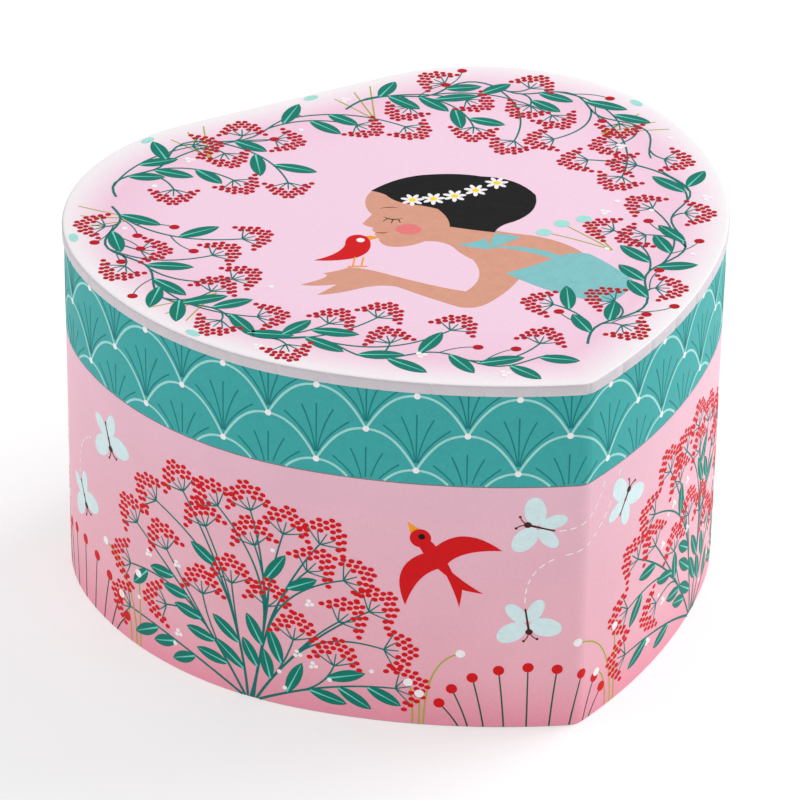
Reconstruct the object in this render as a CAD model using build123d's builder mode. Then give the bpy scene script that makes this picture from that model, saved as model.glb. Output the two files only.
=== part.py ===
"""Wind-up music box: drop-shaped casing with a hinged lid, a jewel compartment and a comb movement.

Frame: millimetres, +Z up, the pointed corner of the casing to the front (-Y), hinge and key at the
back (+Y), X = 0 is the mirror plane of the casing, and the origin is the centre of its underside.
"""

import math
import os

from build123d import *

os.makedirs("parts", exist_ok=True)

# ---------------------------------------------------------------- casing footprint
CORNER_R = 5.0
CORNER_TURN = 20.9
SIDE_R = 151.0
SIDE_TURN = 24.9
SHOULDER_R = 86.0
SHOULDER_TURN = 48.3
LOBE_R = 52.8
LOBE_TURN = 180.0 - CORNER_TURN - SIDE_TURN - SHOULDER_TURN
ARCS = [
    (CORNER_R, CORNER_TURN),
    (SIDE_R, SIDE_TURN),
    (SHOULDER_R, SHOULDER_TURN),
    (LOBE_R, LOBE_TURN),
]

DEPTH = 0.0
heading = 0.0
for arc_r, arc_turn in ARCS:
    DEPTH += arc_r * (math.cos(math.radians(heading)) - math.cos(math.radians(heading + arc_turn)))
    heading += arc_turn
FRONT_Y = -DEPTH / 2
BACK_Y = DEPTH / 2

# ---------------------------------------------------------------- casing heights and layers
HEIGHT = 95.0
SPLIT_Z = 67.5
PANEL_Z = 92.2
PRINT_T = 0.25
WRAP_T = 0.25
BOARD_T = 2.0
LINING_T = 0.25
IN_WALL = WRAP_T + BOARD_T
IN_FREE = IN_WALL + LINING_T
RIM_OUT = 0.2
WRAP_FOOT = 0.3
SEAM = 0.15
FLOOR_T = 2.0
FELT_T = 1.0

# ---------------------------------------------------------------- compartments and stage
STAGE_Y = 41.0
STAGE_WALL_T = 2.0
DECK_Z = 56.0
DECK_T = 2.0
DECK_FELT_T = 0.5
DIVIDER_T = 1.6
DIVIDER_TOP = 44.0
CROSS_Y = 0.0

# ---------------------------------------------------------------- mirror
MIRROR_SCALE = 0.72
FRAME_SCALE = 0.76
MIRROR_T = 1.2
FRAME_T = 1.4

# ---------------------------------------------------------------- movement
PLATE_Y = 69.2
PLATE_T = 2.0
PLATE_X0 = -14.0
PLATE_X1 = 40.0
PLATE_Z0 = 4.0
PLATE_Z1 = 50.0
AXIS_Z = 31.0
CYL_Y = 54.5
RUN = 0.05
BACK_IN = BACK_Y - IN_FREE

ARBOR_R = 1.5
BARREL_R = 10.0
BARREL_WALL = 0.8
BARREL_Y0 = 58.4
BARREL_Y1 = 68.4
CROWN_TEETH = 48
CROWN_MODULE = 0.4
CROWN_R = CROWN_TEETH * CROWN_MODULE / 2
CROWN_FACE = 1.5
CROWN_TIP_Y = 56.55
CROWN_ROOT_Y = 57.35
PINION_TEETH = 12
PINION_FACE = 1.5

CYL_R = 6.5
CYL_BORE = 5.7
CYL_X0 = 12.3
CYL_X1 = 31.0
CYL_ARBOR_R = 0.8
PIN_H = 0.35
PIN_W = 0.35
WHEEL_TEETH = 40
GOV_TEETH = 10
WHEEL_MODULE = 0.33
GOV_Z = AXIS_Z + (WHEEL_TEETH + GOV_TEETH) * WHEEL_MODULE / 2
GOV_R = 0.6
DRUM_R = 1.6
FAN_R = 5.0

COMB_TEETH = 18
COMB_PITCH = 1.03
COMB_TOOTH_W = 0.75
COMB_X0 = 12.95
COMB_T = 1.0
COMB_TIP_GAP = 0.45

SPINDLE_R = 1.0
SPINDLE_Z0 = 38.6
TABLE_Z = 60.0
TABLE_T = 1.5
TABLE_R = 10.0

PLUNGER_X = 35.1
PLUNGER_Y = 66.0
PLUNGER_W = 1.6
PLUNGER_D = 2.4
PLUNGER_TOP = 69.0
PAD_GAP = 0.3
BLOCK_Z = 69.2

KEY_COLLAR_Y = 77.0
KEY_END_Y = 94.0

SCREW_SPOTS = [(-10.0, 10.0), (-10.0, 45.0), (26.0, 45.0)]


def footprint(inset, z, factor=1.0):
    """Casing outline moved inwards by inset and shrunk by factor, as a face at height z."""
    with BuildSketch(Plane.XY.offset(z)) as face:
        with BuildLine():
            start = (0, (FRONT_Y + inset) * factor)
            tangent = (1, 0)
            for radius, turn in ARCS:
                piece = JernArc(start, tangent, (radius - inset) * factor, turn)
                start = piece @ 1
                tangent = piece % 1
            Line(start, (0, (BACK_Y - inset) * factor))
            mirror(about=Plane.YZ)
        make_face()
    return face.sketch


def plane_x(x, y, z):
    """Plane facing +X, with its own x along +Y and its own y along +Z."""
    return Plane(origin=(x, y, z), x_dir=(0, 1, 0), z_dir=(1, 0, 0))


def plane_z(x, y, z):
    """Plane facing +Z at a point."""
    return Plane(origin=(x, y, z), x_dir=(1, 0, 0), z_dir=(0, 0, 1))


def plane_y(x, y, z):
    """Plane facing +Y, with its own x along -X and its own y along +Z."""
    return Plane(origin=(x, y, z), x_dir=(-1, 0, 0), z_dir=(0, 1, 0))


def gear_face(plane, teeth, module, addendum, dedendum, thickness, phase):
    """Involute gear outline; thickness is the tooth's share of the pitch and phase is in teeth."""
    pitch_r = teeth * module / 2
    base_r = pitch_r * math.cos(math.radians(20))
    root_r = pitch_r - dedendum
    tip_r = pitch_r + addendum
    half = math.pi * thickness / teeth

    def half_angle(radius):
        cosine = min(1.0, base_r / radius)
        pressure = math.acos(cosine)
        start = math.tan(math.radians(20)) - math.radians(20)
        return half + start - (math.tan(pressure) - pressure)

    low_r = max(base_r, root_r)
    radii = [root_r, low_r, (low_r + pitch_r) / 2, pitch_r, (pitch_r + tip_r) / 2, tip_r]
    if base_r <= root_r:
        radii = radii[1:]
    outline = []
    for tooth in range(teeth):
        middle = 2 * math.pi * (tooth + phase) / teeth
        rising = [(r, middle - half_angle(r)) for r in radii]
        falling = [(r, middle + half_angle(r)) for r in reversed(radii)]
        for r, angle in rising + falling:
            outline.append((r * math.cos(angle), r * math.sin(angle)))
    with BuildSketch(plane) as face:
        with BuildLine():
            Polyline(*outline, close=True)
        make_face()
    return face.sketch


def disc(plane, radius, hole=0.0):
    """Round face on a plane, with a concentric hole where one is asked for."""
    with BuildSketch(plane) as face:
        Circle(radius)
        if hole:
            Circle(hole, mode=Mode.SUBTRACT)
    return face.sketch


def span(x0, x1, y0, y1, z):
    """Rectangle between two x and two y values at height z."""
    with BuildSketch(Plane.XY.offset(z)) as face:
        with Locations(((x0 + x1) / 2, (y0 + y1) / 2)):
            Rectangle(x1 - x0, y1 - y0)
    return face.sketch


FAR = 120.0

# ================================================================ base of the casing
with BuildPart() as base_wall:
    extrude(footprint(WRAP_T, 0), amount=SPLIT_Z)
    extrude(footprint(IN_WALL, 0), amount=SPLIT_Z, mode=Mode.SUBTRACT)
    extrude(disc(plane_y(0, PLATE_Y, AXIS_Z), 4.0), amount=10, mode=Mode.SUBTRACT)
    for spot_x, spot_z in SCREW_SPOTS:
        extrude(disc(plane_y(spot_x, PLATE_Y, spot_z), 1.55), amount=10, mode=Mode.SUBTRACT)
base_wall.part.label = "base_wall"

with BuildPart() as base_wrap:
    extrude(footprint(0, WRAP_FOOT), amount=SPLIT_Z - SEAM - WRAP_FOOT)
    extrude(footprint(WRAP_T, WRAP_FOOT), amount=SPLIT_Z, mode=Mode.SUBTRACT)
    extrude(disc(plane_y(0, PLATE_Y, AXIS_Z), 4.0), amount=10, mode=Mode.SUBTRACT)
    for spot_x, spot_z in SCREW_SPOTS:
        extrude(disc(plane_y(spot_x, PLATE_Y, spot_z), 1.55), amount=10, mode=Mode.SUBTRACT)
base_wrap.part.label = "base_wrap"

with BuildPart() as base_lining:
    extrude(footprint(IN_WALL, FLOOR_T), amount=SPLIT_Z - FLOOR_T)
    extrude(footprint(IN_FREE, FLOOR_T), amount=SPLIT_Z, mode=Mode.SUBTRACT)
    extrude(disc(plane_y(0, PLATE_Y, AXIS_Z), 4.0), amount=10, mode=Mode.SUBTRACT)
    for spot_x, spot_z in SCREW_SPOTS:
        extrude(disc(plane_y(spot_x, PLATE_Y, spot_z), 1.55), amount=10, mode=Mode.SUBTRACT)
base_lining.part.label = "base_lining"

with BuildPart() as bottom_panel:
    extrude(footprint(IN_WALL, 0), amount=FLOOR_T)
bottom_panel.part.label = "bottom_panel"

with BuildPart() as felt_floor:
    extrude(footprint(IN_FREE, FLOOR_T), amount=FELT_T)
    extrude(span(-FAR, FAR, STAGE_Y, FAR, FLOOR_T), amount=FELT_T, mode=Mode.SUBTRACT)
felt_floor.part.label = "felt_floor"

DIVIDER_Z = FLOOR_T + FELT_T
with BuildPart() as divider_cross:
    extrude(footprint(IN_FREE, DIVIDER_Z), amount=DIVIDER_TOP - DIVIDER_Z)
    cross_back = CROSS_Y + DIVIDER_T
    extrude(span(-FAR, FAR, -FAR, CROSS_Y, DIVIDER_Z), amount=FAR, mode=Mode.SUBTRACT)
    extrude(span(-FAR, FAR, cross_back, FAR, DIVIDER_Z), amount=FAR, mode=Mode.SUBTRACT)
divider_cross.part.label = "divider_cross"

with BuildPart() as divider_center:
    extrude(
        span(-DIVIDER_T / 2, DIVIDER_T / 2, CROSS_Y + DIVIDER_T, STAGE_Y, DIVIDER_Z),
        amount=DIVIDER_TOP - DIVIDER_Z,
    )
divider_center.part.label = "divider_center"

with BuildPart() as stage_front:
    extrude(footprint(IN_FREE, FLOOR_T), amount=DECK_Z - FLOOR_T)
    extrude(span(-FAR, FAR, -FAR, STAGE_Y, FLOOR_T), amount=FAR, mode=Mode.SUBTRACT)
    extrude(span(-FAR, FAR, STAGE_Y + STAGE_WALL_T, FAR, FLOOR_T), amount=FAR, mode=Mode.SUBTRACT)
stage_front.part.label = "stage_front"

DECK_TOP = DECK_Z + DECK_T
FELT_TOP = DECK_TOP + DECK_FELT_T
with BuildPart() as stage_deck:
    extrude(footprint(IN_FREE, DECK_Z), amount=DECK_T)
    extrude(span(-FAR, FAR, -FAR, STAGE_Y, DECK_Z), amount=DECK_T, mode=Mode.SUBTRACT)
    with Locations((0, CYL_Y, DECK_Z), (PLUNGER_X, PLUNGER_Y, DECK_Z)):
        Cylinder(2.6, 3 * DECK_T, mode=Mode.SUBTRACT)
stage_deck.part.label = "stage_deck"

with BuildPart() as stage_felt:
    extrude(footprint(IN_FREE, DECK_TOP), amount=DECK_FELT_T)
    extrude(span(-FAR, FAR, -FAR, STAGE_Y, DECK_TOP), amount=DECK_FELT_T, mode=Mode.SUBTRACT)
    with Locations((0, CYL_Y, DECK_TOP), (PLUNGER_X, PLUNGER_Y, DECK_TOP)):
        Cylinder(2.6, 3 * DECK_FELT_T, mode=Mode.SUBTRACT)
stage_felt.part.label = "stage_felt"


with BuildPart() as spindle_bushing:
    extrude(disc(plane_z(0, CYL_Y, DECK_Z - 0.5), 2.6, SPINDLE_R + RUN), amount=FELT_TOP - DECK_Z + 0.5)
    extrude(disc(plane_z(0, CYL_Y, FELT_TOP), 4.2, SPINDLE_R + RUN), amount=0.7)
spindle_bushing.part.label = "spindle_bushing"

with BuildPart() as plunger_guide:
    extrude(disc(plane_z(PLUNGER_X, PLUNGER_Y, DECK_Z - 2.5), 2.6), amount=FELT_TOP - DECK_Z + 2.5)
    extrude(disc(plane_z(PLUNGER_X, PLUNGER_Y, FELT_TOP), 4.0), amount=0.7)
    with Locations((PLUNGER_X, PLUNGER_Y, DECK_Z)):
        Box(PLUNGER_W + 2 * RUN, PLUNGER_D + 2 * RUN, 20, mode=Mode.SUBTRACT)
plunger_guide.part.label = "plunger_guide"

# ================================================================ fixed parts of the movement
PLATE_HIGH = PLATE_Z1 - PLATE_Z0
PLATE_WIDE = PLATE_X1 - PLATE_X0
PLATE_MID_X = (PLATE_X0 + PLATE_X1) / 2
PLATE_MID_Z = (PLATE_Z0 + PLATE_Z1) / 2

with BuildPart() as movement_spacer:
    with Locations((7.5, (PLATE_Y + PLATE_T + BACK_IN) / 2, PLATE_MID_Z)):
        Box(39, BACK_IN - PLATE_Y - PLATE_T, PLATE_HIGH)
    extrude(disc(plane_y(0, PLATE_Y, AXIS_Z), 4.0), amount=10, mode=Mode.SUBTRACT)
    for spot_x, spot_z in SCREW_SPOTS:
        extrude(disc(plane_y(spot_x, PLATE_Y, spot_z), 1.55), amount=10, mode=Mode.SUBTRACT)
movement_spacer.part.label = "movement_spacer"

with BuildPart() as movement_plate:
    with Locations((PLATE_MID_X, PLATE_Y + PLATE_T / 2, PLATE_MID_Z)):
        Box(PLATE_WIDE, PLATE_T, PLATE_HIGH)
    fillet(movement_plate.edges().filter_by(Axis.Y), 2.5)
    extrude(disc(plane_y(0, PLATE_Y, AXIS_Z), ARBOR_R + RUN), amount=PLATE_T, mode=Mode.SUBTRACT)
    for spot_x, spot_z in SCREW_SPOTS:
        extrude(disc(plane_y(spot_x, PLATE_Y, spot_z), 1.5), amount=PLATE_T, mode=Mode.SUBTRACT)
movement_plate.part.label = "movement_plate"

with BuildPart() as mounting_screws:
    for spot_x, spot_z in SCREW_SPOTS:
        extrude(disc(plane_y(spot_x, PLATE_Y, spot_z), 1.5), amount=BACK_Y - PLATE_Y)
        extrude(disc(plane_y(spot_x, BACK_Y, spot_z), 3.0), amount=1.5)
        with Locations((spot_x, BACK_Y + 1.5, spot_z)):
            Box(4.4, 1.2, 0.7, mode=Mode.SUBTRACT)
mounting_screws.part.label = "mounting_screws"

with BuildPart() as key_escutcheon:
    extrude(disc(plane_y(0, BACK_Y, AXIS_Z), 7.0, 4.0), amount=0.8)
    chamfer(key_escutcheon.edges().filter_by(GeomType.CIRCLE).sort_by(Axis.Y)[-1], 0.3)
key_escutcheon.part.label = "key_escutcheon"

BRIDGE_Y0 = 53.9
BRIDGE_Y1 = 55.4
with BuildPart() as barrel_bridge:
    with Locations((-5.0, (BRIDGE_Y0 + BRIDGE_Y1) / 2, AXIS_Z)):
        Box(18, BRIDGE_Y1 - BRIDGE_Y0, 10)
    with Locations((-12.75, (BRIDGE_Y1 + PLATE_Y) / 2, AXIS_Z)):
        Box(2.5, PLATE_Y - BRIDGE_Y1, 10)
    extrude(disc(plane_y(0, BRIDGE_Y0, AXIS_Z), ARBOR_R + RUN), amount=2, mode=Mode.SUBTRACT)
barrel_bridge.part.label = "barrel_bridge"

BRACKET_Y0 = 52.3
BRACKET_DEEP = PLATE_Y - BRACKET_Y0
BRACKET_MID_Y = (PLATE_Y + BRACKET_Y0) / 2
LEFT_X = 10.9
RIGHT_X = 32.8
OUTER_X = 39.2
with BuildPart() as bracket_left:
    with Locations((LEFT_X + 0.5, BRACKET_MID_Y, AXIS_Z)):
        Box(1, BRACKET_DEEP, 8)
    extrude(disc(plane_x(LEFT_X, CYL_Y, AXIS_Z), CYL_ARBOR_R + RUN), amount=1, mode=Mode.SUBTRACT)
bracket_left.part.label = "bracket_left"

with BuildPart() as bracket_right:
    with Locations((RIGHT_X + 0.5, BRACKET_MID_Y, (27 + 42.5) / 2)):
        Box(1, BRACKET_DEEP, 42.5 - 27)
    extrude(disc(plane_x(RIGHT_X, CYL_Y, AXIS_Z), CYL_ARBOR_R + RUN), amount=1, mode=Mode.SUBTRACT)
    extrude(disc(plane_x(RIGHT_X, CYL_Y, GOV_Z), GOV_R + RUN), amount=1, mode=Mode.SUBTRACT)
bracket_right.part.label = "bracket_right"

with BuildPart() as bracket_outer:
    with Locations((OUTER_X + 0.4, BRACKET_MID_Y, GOV_Z)):
        Box(0.8, BRACKET_DEEP, 6.5)
    extrude(disc(plane_x(OUTER_X, CYL_Y, GOV_Z), GOV_R + RUN), amount=0.8, mode=Mode.SUBTRACT)
bracket_outer.part.label = "bracket_outer"

SPINDLE_BRACKET_Z = 43.0
with BuildPart() as spindle_bracket:
    with Locations((0, (51.5 + PLATE_Y) / 2, SPINDLE_BRACKET_Z + 0.8)):
        Box(7, PLATE_Y - 51.5, 1.6)
    extrude(
        disc(plane_z(0, CYL_Y, SPINDLE_BRACKET_Z), SPINDLE_R + RUN),
        amount=1.6,
        mode=Mode.SUBTRACT,
    )
spindle_bracket.part.label = "spindle_bracket"

COMB_Z0 = 5.0
COMB_X1 = COMB_X0 + (COMB_TEETH - 1) * COMB_PITCH
COMB_EDGE = 0.6
COMB_TIP_Z = AXIS_Z - CYL_R - COMB_TIP_GAP
COMB_SCREW_X = [COMB_X0 + 2.0, (COMB_X0 + COMB_X1) / 2, COMB_X1 - 2.0]
with BuildPart() as comb_base:
    with Locations(((COMB_X0 + COMB_X1) / 2, (CYL_Y + COMB_T / 2 + PLATE_Y) / 2, COMB_Z0 + 2.5)):
        Box(COMB_X1 - COMB_X0 + 2 * COMB_EDGE, PLATE_Y - CYL_Y - COMB_T / 2, 5.0)
    for screw_x in COMB_SCREW_X:
        extrude(
            disc(plane_y(screw_x, CYL_Y + COMB_T / 2, COMB_Z0 + 2.5), 0.8),
            amount=6,
            mode=Mode.SUBTRACT,
        )
comb_base.part.label = "comb_base"

with BuildPart() as comb:
    with BuildSketch(Plane(origin=(0, CYL_Y - COMB_T / 2, 0), x_dir=(1, 0, 0), z_dir=(0, -1, 0))):
        with BuildLine():
            Polyline(
                (COMB_X0 - COMB_EDGE, COMB_Z0),
                (COMB_X1 + COMB_EDGE, COMB_Z0),
                (COMB_X1 + COMB_EDGE, COMB_Z0 + 9.5),
                (COMB_X0 - COMB_EDGE, COMB_Z0 + 5.5),
                close=True,
            )
        make_face()
        for tooth in range(COMB_TEETH):
            with Locations((COMB_X0 + tooth * COMB_PITCH, (COMB_Z0 + 4.5 + COMB_TIP_Z) / 2)):
                Rectangle(COMB_TOOTH_W, COMB_TIP_Z - COMB_Z0 - 4.5)
        with Locations(*[(screw_x, COMB_Z0 + 2.5) for screw_x in COMB_SCREW_X]):
            Circle(0.85, mode=Mode.SUBTRACT)
    extrude(amount=-COMB_T)
comb.part.label = "comb"

with BuildPart() as comb_screws:
    for screw_x in COMB_SCREW_X:
        extrude(disc(plane_y(screw_x, CYL_Y - COMB_T / 2 - 0.9, COMB_Z0 + 2.5), 1.5), amount=0.9)
        extrude(disc(plane_y(screw_x, CYL_Y - COMB_T / 2, COMB_Z0 + 2.5), 0.8), amount=6)
        with Locations((screw_x, CYL_Y - COMB_T / 2 - 0.9, COMB_Z0 + 2.5)):
            Box(4, 0.8, 0.4, mode=Mode.SUBTRACT)
comb_screws.part.label = "comb_screws"

# ================================================================ hinge
TAPE_HALF = 25.0
TAPE_T = 0.3
TAPE_GAP = 0.6
with BuildPart() as hinge_tape_base:
    with Locations((0, BACK_Y + TAPE_T / 2, SPLIT_Z - TAPE_GAP - 4.5)):
        Box(2 * TAPE_HALF, TAPE_T, 9.0)
hinge_tape_base.part.label = "hinge_tape_base"

with BuildPart() as hinge_tape_lid:
    with Locations((0, BACK_Y + TAPE_T / 2, SPLIT_Z + TAPE_GAP + 4.0)):
        Box(2 * TAPE_HALF, TAPE_T, 8.0)
hinge_tape_lid.part.label = "hinge_tape_lid"

# ================================================================ lid
with BuildPart() as lid_wall:
    extrude(footprint(WRAP_T, SPLIT_Z), amount=PANEL_Z - SPLIT_Z)
    extrude(footprint(IN_WALL, SPLIT_Z), amount=PANEL_Z - SPLIT_Z, mode=Mode.SUBTRACT)
lid_wall.part.label = "lid_wall"

with BuildPart() as lid_wrap:
    extrude(footprint(0, SPLIT_Z + SEAM), amount=PANEL_Z - SPLIT_Z - SEAM)
    extrude(footprint(WRAP_T, SPLIT_Z + SEAM), amount=PANEL_Z - SPLIT_Z - SEAM, mode=Mode.SUBTRACT)
lid_wrap.part.label = "lid_wrap"

CEILING_Z = PANEL_Z - LINING_T
with BuildPart() as lid_lining:
    extrude(footprint(IN_WALL, SPLIT_Z), amount=CEILING_Z - SPLIT_Z)
    extrude(footprint(IN_FREE, SPLIT_Z), amount=CEILING_Z - SPLIT_Z, mode=Mode.SUBTRACT)
lid_lining.part.label = "lid_lining"

with BuildPart() as lid_ceiling:
    extrude(footprint(IN_WALL, CEILING_Z), amount=LINING_T)
lid_ceiling.part.label = "lid_ceiling"

with BuildPart() as lid_top_panel:
    extrude(footprint(-RIM_OUT, PANEL_Z), amount=HEIGHT - PRINT_T - PANEL_Z)
lid_top_panel.part.label = "lid_top_panel"

with BuildPart() as lid_top_print:
    extrude(footprint(0.2, HEIGHT - PRINT_T), amount=PRINT_T)
lid_top_print.part.label = "lid_top_print"

with BuildPart() as mirror_glass:
    extrude(footprint(0, CEILING_Z - MIRROR_T, MIRROR_SCALE), amount=MIRROR_T)
mirror_glass.part.label = "mirror_glass"

with BuildPart() as mirror_frame:
    extrude(footprint(0, CEILING_Z - FRAME_T, FRAME_SCALE), amount=FRAME_T)
    extrude(footprint(0, CEILING_Z - FRAME_T, MIRROR_SCALE), amount=FRAME_T, mode=Mode.SUBTRACT)
mirror_frame.part.label = "mirror_frame"

with BuildPart() as lid_push_block:
    extrude(footprint(IN_FREE, BLOCK_Z), amount=8)
    extrude(span(-FAR, PLUNGER_X - 4.5, -FAR, FAR, BLOCK_Z), amount=8, mode=Mode.SUBTRACT)
    extrude(span(PLUNGER_X + 4.5, FAR, -FAR, FAR, BLOCK_Z), amount=8, mode=Mode.SUBTRACT)
    extrude(span(-FAR, FAR, -FAR, PLUNGER_Y - 4.5, BLOCK_Z), amount=8, mode=Mode.SUBTRACT)
lid_push_block.part.label = "lid_push_block"

# ================================================================ key
with BuildPart() as key_arbor:
    extrude(disc(plane_y(0, BRIDGE_Y0 - 0.6, AXIS_Z), ARBOR_R), amount=KEY_END_Y - 6 - BRIDGE_Y0)
key_arbor.part.label = "key_arbor"

with BuildPart() as winding_key:
    extrude(disc(plane_y(0, KEY_COLLAR_Y, AXIS_Z), 3.0), amount=6)
    with BuildSketch(Plane(origin=(0, 0, AXIS_Z), x_dir=(1, 0, 0), z_dir=(0, 0, 1))):
        with Locations((-6.0, KEY_END_Y - 6.2), (6.0, KEY_END_Y - 6.2)):
            Ellipse(6.2, 6.0)
        with Locations((0, KEY_END_Y - 8.5)):
            Rectangle(7, 7)
        with Locations((-7.0, KEY_END_Y - 6.2), (7.0, KEY_END_Y - 6.2)):
            Ellipse(2.6, 2.6, mode=Mode.SUBTRACT)
    extrude(amount=0.9, both=True)
    extrude(
        disc(plane_y(0, BRIDGE_Y0, AXIS_Z), ARBOR_R),
        amount=KEY_END_Y - 6.6 - BRIDGE_Y0,
        mode=Mode.SUBTRACT,
    )
winding_key.part.label = "winding_key"

# ================================================================ spring barrel
with BuildPart() as barrel_drum:
    extrude(disc(plane_y(0, BARREL_Y0, AXIS_Z), BARREL_R, ARBOR_R + RUN), amount=1.0)
    extrude(
        disc(plane_y(0, BARREL_Y0 + 1, AXIS_Z), BARREL_R, BARREL_R - BARREL_WALL),
        amount=BARREL_Y1 - BARREL_Y0 - 1,
    )
barrel_drum.part.label = "barrel_drum"

with BuildPart() as barrel_cap:
    extrude(
        disc(plane_y(0, BARREL_Y1 - 1, AXIS_Z), BARREL_R - BARREL_WALL, ARBOR_R + RUN),
        amount=1.0,
    )
barrel_cap.part.label = "barrel_cap"

SPRING_TURNS = 5
SPRING_R0 = 3.2
SPRING_R1 = 8.8
SPRING_T = 0.4
SPRING_STEPS = 120
with BuildPart() as mainspring:
    spring_in = []
    spring_out = []
    for step in range(SPRING_STEPS + 1):
        share = step / SPRING_STEPS
        turn_angle = 2 * math.pi * SPRING_TURNS * share
        spring_r = SPRING_R0 + (SPRING_R1 - SPRING_R0) * share
        spring_in.append((spring_r * math.cos(turn_angle), spring_r * math.sin(turn_angle)))
        spring_r -= SPRING_T
        spring_out.append((spring_r * math.cos(turn_angle), spring_r * math.sin(turn_angle)))
    with BuildSketch(plane_y(0, BARREL_Y0 + 1.6, AXIS_Z)):
        with BuildLine():
            Polyline(*(spring_in + spring_out[::-1]), close=True)
        make_face()
    extrude(amount=BARREL_Y1 - BARREL_Y0 - 3.2)
mainspring.part.label = "mainspring"

CROWN_PITCH = math.pi * CROWN_MODULE
CROWN_MID_Y = (CROWN_TIP_Y + CROWN_ROOT_Y) / 2
with BuildPart() as barrel_crown:
    crown_in = CROWN_R - CROWN_FACE / 2
    crown_out = CROWN_R + CROWN_FACE / 2
    extrude(
        disc(plane_y(0, CROWN_ROOT_Y, AXIS_Z), crown_out, ARBOR_R + RUN),
        amount=BARREL_Y0 - CROWN_ROOT_Y,
    )
    for tooth in range(CROWN_TEETH):
        lean = 2 * math.pi * tooth / CROWN_TEETH
        out_dir = (math.cos(lean), 0, math.sin(lean))
        side_dir = (-math.sin(lean), 0, math.cos(lean))
        foot = (crown_in * out_dir[0], CROWN_ROOT_Y, AXIS_Z + crown_in * out_dir[2])
        with BuildSketch(Plane(origin=foot, x_dir=side_dir, z_dir=out_dir)) as crown_tooth:
            with BuildLine():
                Polyline(
                    (-0.29, -0.1),
                    (0.29, -0.1),
                    (0.29, 0.0),
                    (0.13, CROWN_ROOT_Y - CROWN_TIP_Y),
                    (-0.13, CROWN_ROOT_Y - CROWN_TIP_Y),
                    (-0.29, 0.0),
                    close=True,
                )
            make_face()
        extrude(amount=CROWN_FACE - 0.05)
barrel_crown.part.label = "barrel_crown"

# ================================================================ pinned cylinder
CYL_LONG = CYL_X1 - CYL_X0
with BuildPart() as cylinder_drum:
    extrude(disc(plane_x(CYL_X0, CYL_Y, AXIS_Z), CYL_R, CYL_ARBOR_R), amount=1.0)
    extrude(disc(plane_x(CYL_X0 + 1, CYL_Y, AXIS_Z), CYL_R, CYL_BORE), amount=CYL_LONG - 1)
cylinder_drum.part.label = "cylinder_drum"

PINS_PER_TOOTH = 6
with BuildPart() as cylinder_pins:
    for tooth in range(COMB_TEETH):
        for beat in range(PINS_PER_TOOTH):
            turn = (beat * 60 + (tooth * 7 + beat * 11) % 12 * 4.0 + tooth * 2.5) % 360
            angle = math.radians(turn)
            reach = CYL_BORE + 0.2
            pin_plane = Plane(
                origin=(
                    COMB_X0 + tooth * COMB_PITCH,
                    CYL_Y + reach * math.cos(angle),
                    AXIS_Z + reach * math.sin(angle),
                ),
                x_dir=(1, 0, 0),
                z_dir=(0, math.cos(angle), math.sin(angle)),
            )
            with BuildSketch(pin_plane):
                Rectangle(PIN_W, PIN_W)
            extrude(amount=CYL_R + PIN_H - reach)
cylinder_pins.part.label = "cylinder_pins"

with BuildPart() as cylinder_arbor:
    extrude(disc(plane_x(8.0, CYL_Y, AXIS_Z), CYL_ARBOR_R), amount=34.4 - 8.0)
cylinder_arbor.part.label = "cylinder_arbor"

with BuildPart() as cylinder_pinion:
    crown_contact = plane_x(CROWN_R - PINION_FACE / 2, CYL_Y, AXIS_Z)
    extrude(
        gear_face(crown_contact, PINION_TEETH, CROWN_MODULE, 0.3, 0.5, 0.34, 0.5),
        amount=PINION_FACE,
    )
    extrude(disc(crown_contact, CYL_ARBOR_R), amount=PINION_FACE, mode=Mode.SUBTRACT)
cylinder_pinion.part.label = "cylinder_pinion"

with BuildPart() as cylinder_wheel:
    extrude(disc(plane_x(CYL_X1 - 0.8, CYL_Y, AXIS_Z), CYL_BORE), amount=1.25)
    extrude(
        gear_face(
            plane_x(CYL_X1 + 0.45, CYL_Y, AXIS_Z), WHEEL_TEETH, WHEEL_MODULE, 0.22, 0.36, 0.4, 0.0
        ),
        amount=0.9,
    )
    extrude(disc(plane_x(CYL_X1 - 1, CYL_Y, AXIS_Z), CYL_ARBOR_R), amount=5, mode=Mode.SUBTRACT)
cylinder_wheel.part.label = "cylinder_wheel"

# ================================================================ governor
with BuildPart() as governor_arbor:
    extrude(disc(plane_x(31.2, CYL_Y, GOV_Z), GOV_R), amount=40.4 - 31.2)
governor_arbor.part.label = "governor_arbor"

with BuildPart() as governor_pinion:
    gov_plane = plane_x(31.35, CYL_Y, GOV_Z)
    extrude(gear_face(gov_plane, GOV_TEETH, WHEEL_MODULE, 0.26, 0.36, 0.36, 0.0), amount=1.1)
    extrude(disc(gov_plane, GOV_R), amount=1.1, mode=Mode.SUBTRACT)
governor_pinion.part.label = "governor_pinion"

with BuildPart() as brake_drum:
    extrude(disc(plane_x(34.15, CYL_Y, GOV_Z), DRUM_R, GOV_R), amount=1.8)
brake_drum.part.label = "brake_drum"

with BuildPart() as fan:
    fan_plane = plane_x(36.4, CYL_Y, GOV_Z)
    extrude(disc(fan_plane, 1.1), amount=2.2)
    with Locations((36.4 + 1.1, CYL_Y, GOV_Z)):
        Box(2.2, 2 * FAN_R, 0.4)
    extrude(disc(fan_plane, GOV_R), amount=2.2, mode=Mode.SUBTRACT)
fan.part.label = "fan"

# ================================================================ spindle, turntable and bird
with BuildPart() as spindle_rod:
    extrude(disc(plane_z(0, CYL_Y, SPINDLE_Z0), SPINDLE_R), amount=TABLE_Z - SPINDLE_Z0)
spindle_rod.part.label = "spindle_rod"

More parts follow.
